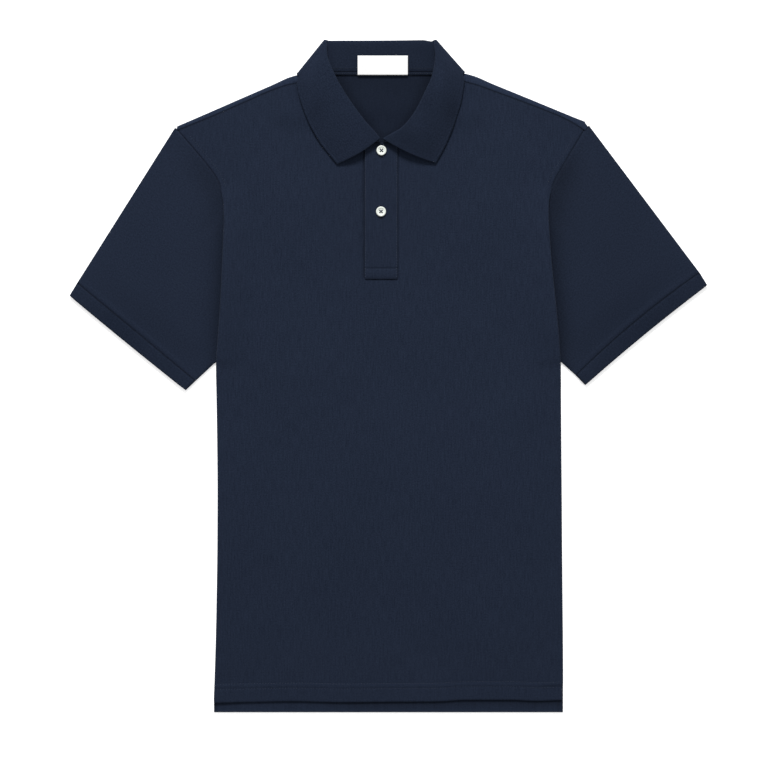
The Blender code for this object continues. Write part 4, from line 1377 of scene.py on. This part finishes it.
def lathe(name, profile, segments):
    """A closed turned mesh from a half section that starts and ends on the axis (mm)."""
    points = [(0.0, 0.0, profile[0][1])]
    rings = profile[1:-1]
    for radius, height in rings:
        points += [(radius * cosine, radius * sine, height) for cosine, sine in circle(segments)]
    points.append((0.0, 0.0, profile[-1][1]))
    last = len(points) - 1
    around = [(k, (k + 1) % segments) for k in range(segments)]
    faces = [(0, 1 + k, 1 + beside) for k, beside in around]
    for low in range(1, last - segments, segments):
        high = low + segments
        faces += [(low + k, high + k, high + beside, low + beside) for k, beside in around]
    faces += [(last, last - segments + beside, last - segments + k) for k, beside in around]
    return mesh_from(name, points, faces)


def hole_rods():
    """Four rods as one closed mesh, which cut the thread holes."""
    points, faces = [], []
    for side_x in (-1, 1):
        for side_y in (-1, 1):
            faces += tube_faces(len(points), 2, THREAD_HOLE_SIDES)
            for height in (-2.0, 6.0):
                for cosine, sine in circle(THREAD_HOLE_SIDES):
                    points.append((side_x * THREAD_HOLE_PLACE + THREAD_HOLE_RADIUS * cosine,
                                   side_y * THREAD_HOLE_PLACE + THREAD_HOLE_RADIUS * sine, height))
    return mesh_from("hole_rods", points, faces)


def build_button(place):
    """A turned button with four holes, sewn on with two crossing pairs of strands."""
    node = "button_" + place
    low, high = box_mm(node)
    radius = (high[0] - low[0]) / 2
    centre = (low + high) / 2
    mesh = lathe(node + "_pearl", button_profile(radius, high[2] - low[2]), BUTTON_SEGMENTS)
    piece = add_piece(node + "_pearl", mesh, PEARL, [node])
    cutter = add_object("cutter", hole_rods())
    cut = piece.modifiers.new("holes", "BOOLEAN")
    cut.operation = "DIFFERENCE"
    cut.solver = "EXACT"
    cut.object = cutter
    graph = bpy.context.evaluated_depsgraph_get()
    finished = bpy.data.meshes.new_from_object(piece.evaluated_get(graph))
    piece.modifiers.clear()
    piece.data = finished
    bpy.data.objects.remove(cutter)
    finished.transform(Matrix.Translation((centre[0] * MM, centre[1] * MM, low[2] * MM)))
    finished.shade_smooth()
    finished.set_sharp_from_angle(angle=math.radians(38))

    strands = []
    face = high[2] - BUTTON_DISH
    reach = THREAD_HOLE_PLACE + 0.1
    for cross in (1, -1):
        for offset in (-0.22, 0.22):
            line = []
            for share in np.linspace(-1.0, 1.0, 9):
                rise = 0.34 * (1.0 - abs(share) ** 3) + (0.16 if cross > 0 else 0.0) * bell(share, 0.5)
                shift = offset * (1.0 - 0.5 * abs(share))
                line.append((centre[0] + share * reach - cross * shift * 0.7,
                             centre[1] + cross * share * reach + shift * 0.7,
                             face - 0.25 + rise + (0.0 if abs(share) < 1 else -1.0)))
            strands.append(line)
    strand_piece(node + "_thread", strands, 0.34, BUTTON_THREAD)


def strand_piece(name, strands, radius, finish, sides=8):
    """Round threads along lines of points (mm), none of them upright, joined into one piece."""
    points, faces = [], []
    for strand in strands:
        line = np.array(strand)
        tangent = np.gradient(line, axis=0)
        tangent /= np.linalg.norm(tangent, axis=-1, keepdims=True)
        faces += tube_faces(len(points), len(line), sides)
        for place, direction in zip(line, tangent):
            aside = np.cross(UPWARDS, direction)
            aside /= np.linalg.norm(aside)
            over = np.cross(direction, aside)
            for cosine, sine in circle(sides):
                points.append(place + (aside * cosine + over * sine) * radius)
    return add_piece(name, mesh_from(name, points, faces), finish)


HOLE_HALF = 6.6          # half the buttonhole's length
HOLE_GAP = 0.75          # from the slit to the middle of the stitches beside it
HOLE_DROP = 0.8          # the buttonhole's middle lies this far below the button's


def build_buttonhole(place):
    """Close satin stitches round an upright slit under the button."""
    low, high = box_mm("button_" + place)
    middle_x, middle_y = (low + high)[:2] / 2 - (0.0, HOLE_DROP)
    level = BAND_HIGH[2] + 0.08
    centres, along = [], []
    for y in np.arange(-HOLE_HALF, HOLE_HALF + 0.01, 0.42):
        for side in (-1, 1):
            centres.append((middle_x + side * HOLE_GAP, middle_y + y, level))
            along.append((1.0, 0.0, 0.0))
    for end in (-1, 1):
        for x in np.arange(-1.3, 1.31, 0.4):
            centres.append((middle_x + x, middle_y + end * (HOLE_HALF + 0.5), level))
            along.append((0.0, 1.0, 0.0))
    name = "buttonhole_" + place
    mesh = stitch_mesh(name, np.array(centres), np.array(along), UPWARDS, 1.3, 0.42)
    return add_piece(name, mesh, DARK_THREAD)


# ---------------------------------------------------------------- stitched lines


def on_front(x, y):
    """Points lying on the front's upper face at each X and Y."""
    x, y = np.asarray(x, float), np.asarray(y, float)
    z = front_z(x, y, x, y) + front_waves(x, y) + PIQUE / 2
    return np.stack([x, y, z], -1)


def level_row(x, y, z):
    """A straight row of points across the body."""
    return np.stack([x, np.full_like(x, y), np.full_like(x, z)], -1)


def build_front_stitches():
    """Two rows of stitches along the front's hem, following its uneven edge."""
    rows = []
    x = np.linspace(BODY_EDGE[1][1] + 3.0, BODY_EDGE[1][2] - VENT_STEP - 2.0, 90)
    for above in HEM_ROWS:
        place = on_front(x, np.full_like(x, FRONT_HEM_Y + above))
        place[:, 1] = hem_y(x) + above
        place[:, 2] += 0.08
        rows.append(place)
    return stitch_rows("front_hem_stitches", rows, THREAD, 3.2, 1.6, 0.45)


ARMHOLE_ROW = 6.6        # the armhole's stitches lie this far in from the seam


def build_armhole_stitches():
    """A row of stitches on the front beside each armhole, drawn from the edge's slope."""
    rows = []
    y = np.linspace(204.0, 274.0, 40)
    for column, side in ((1, -1), (2, 1)):
        edge = read(BODY_EDGE, y, column)
        slope = np.gradient(edge, y)
        rows.append(on_front(edge - side * ARMHOLE_ROW * np.sqrt(1.0 + slope ** 2), y))
    return stitch_rows("armhole_stitches", rows, THREAD, 2.9, 1.4, 0.38)


def build_placket_stitches():
    low_x, high_x = BAND_LOW[0], BAND_HIGH[0]
    low_y = BAND_LOW[1]
    level = BAND_Z + BAND / 2 - 0.1
    left = low_x + BAND_STITCH["left"]
    right = high_x - BAND_STITCH["right"]
    rows = []
    for x, lifted in ((left, 0.65), (right, 0.0)):
        y = np.linspace(low_y + BOX_ROW, float(neck_edge_y(x)) - 1.5, 60)
        z = level + lifted * smooth((y - low_y - 14.0) / 20.0)
        rows.append(np.stack([np.full_like(y, x), y, z], -1))
    x = np.linspace(left + 1.0, right - 1.0, 12)
    for above, sunk in ((BOX_ROW, 0.3), (BOX_TOP - BOX_ROW, 0.1)):
        rows.append(level_row(x, low_y + above, level - sunk))
    return stitch_rows("placket_stitches", rows, PLACKET_THREAD, 3.0, 1.3, 0.45)


def build_neck_stitches():
    x = np.linspace(TAPE_LOW[0] + 1.0, TAPE_HIGH[0] - 1.0, 40)
    on_stand = level_row(x, TAPE_HIGH[1] + 4.2, STAND_Z + RIB / 2 + 0.22)
    on_tape = level_row(x, TAPE_MIDDLE_Y, TAPE_HIGH[2] - 0.12)
    return stitch_rows("neck_stitches", [on_stand, on_tape], THREAD, 2.5, 1.5, 0.45)


def build_back_stitches():
    x = np.linspace(BODY_EDGE[0][1] + 3.0, BODY_EDGE[0][2] - 3.0, 90)
    rows = [level_row(x, BACK_HEM_Y + above, 0.0) for above in HEM_ROWS]
    return stitch_rows("back_hem_stitches", rows, THREAD, 3.0, 2.3, 0.5, -UPWARDS)


# ---------------------------------------------------------------- studio


FLOOR_HALF = 6000.0              # mm
FLOOR_DROP = 0.0004              # metres, just below the cloth's underside
FLOOR_GLOW = 0.45
WORLD_STRENGTH = 0.60
WINDOW_PLACE = (-0.35, 4.2, 3.1)
WINDOW_AIM = (0.0, 0.05, 0.0)
CAMERA_PLACE = (-0.0050, -0.0090, 2.4353)


def build_studio():
    """White paper, soft light from all round, a window beyond the collar, and the camera straight above."""
    half = FLOOR_HALF
    floor_mesh = mesh_from("floor", [(-half, -half, 0), (half, -half, 0), (half, half, 0), (-half, half, 0)],
                           [(0, 1, 2, 3)])
    floor = add_object("floor", floor_mesh)
    floor.location = (0.0, 0.0, -FLOOR_DROP)
    paper, shader = shader_of("floor_paper", 0.95, 0.1)
    shader.inputs["Base Color"].default_value = (0.90, 0.90, 0.90, 1.0)
    shader.inputs["Emission Color"].default_value = (1.0, 1.0, 1.0, 1.0)
    shader.inputs["Emission Strength"].default_value = FLOOR_GLOW
    floor_mesh.materials.append(paper)

    world = bpy.data.worlds.new("studio")
    world.use_nodes = True
    background = world.node_tree.nodes["Background"]
    background.inputs["Color"].default_value = (1.0, 1.0, 1.0, 1.0)
    background.inputs["Strength"].default_value = WORLD_STRENGTH
    bpy.context.scene.world = world

    window = bpy.data.lights.new("window", "AREA")
    window.shape = "SQUARE"
    window.size = 1.4
    window.energy = 300.0
    lamp = add_object("window", window)
    lamp.location = WINDOW_PLACE
    aim = Vector(WINDOW_AIM) - lamp.location
    lamp.rotation_euler = aim.to_track_quat("-Z", "Y").to_euler()

    camera_data = bpy.data.cameras.new("camera")
    camera_data.lens = 100.0
    camera_data.sensor_width = 36.0
    camera_data.clip_start = 0.05
    camera = add_object("camera", camera_data)
    camera.location = CAMERA_PLACE
    bpy.context.scene.camera = camera
    bpy.context.scene.view_settings.view_transform = "Standard"


# ---------------------------------------------------------------- the shirt

front = build_front()
back = build_back()
sleeves = {side: build_sleeve(side, sleeve) for side, sleeve in SLEEVES.items()}
cuffs = {side: build_cuff(side, sleeve) for side, sleeve in SLEEVES.items()}
collar = build_collar()
placket = build_placket()
under_placket = build_under_placket()
tape = build_tape()
label, label_stitches = build_label()
for place in ("upper", "lower"):
    build_button(place)
holes = [build_buttonhole(place) for place in ("upper", "lower")]
hem_stitches = build_front_stitches()
armhole_stitches = build_armhole_stitches()
placket_stitches = build_placket_stitches()
neck_stitches = build_neck_stitches()
back_stitches = build_back_stitches()
build_studio()
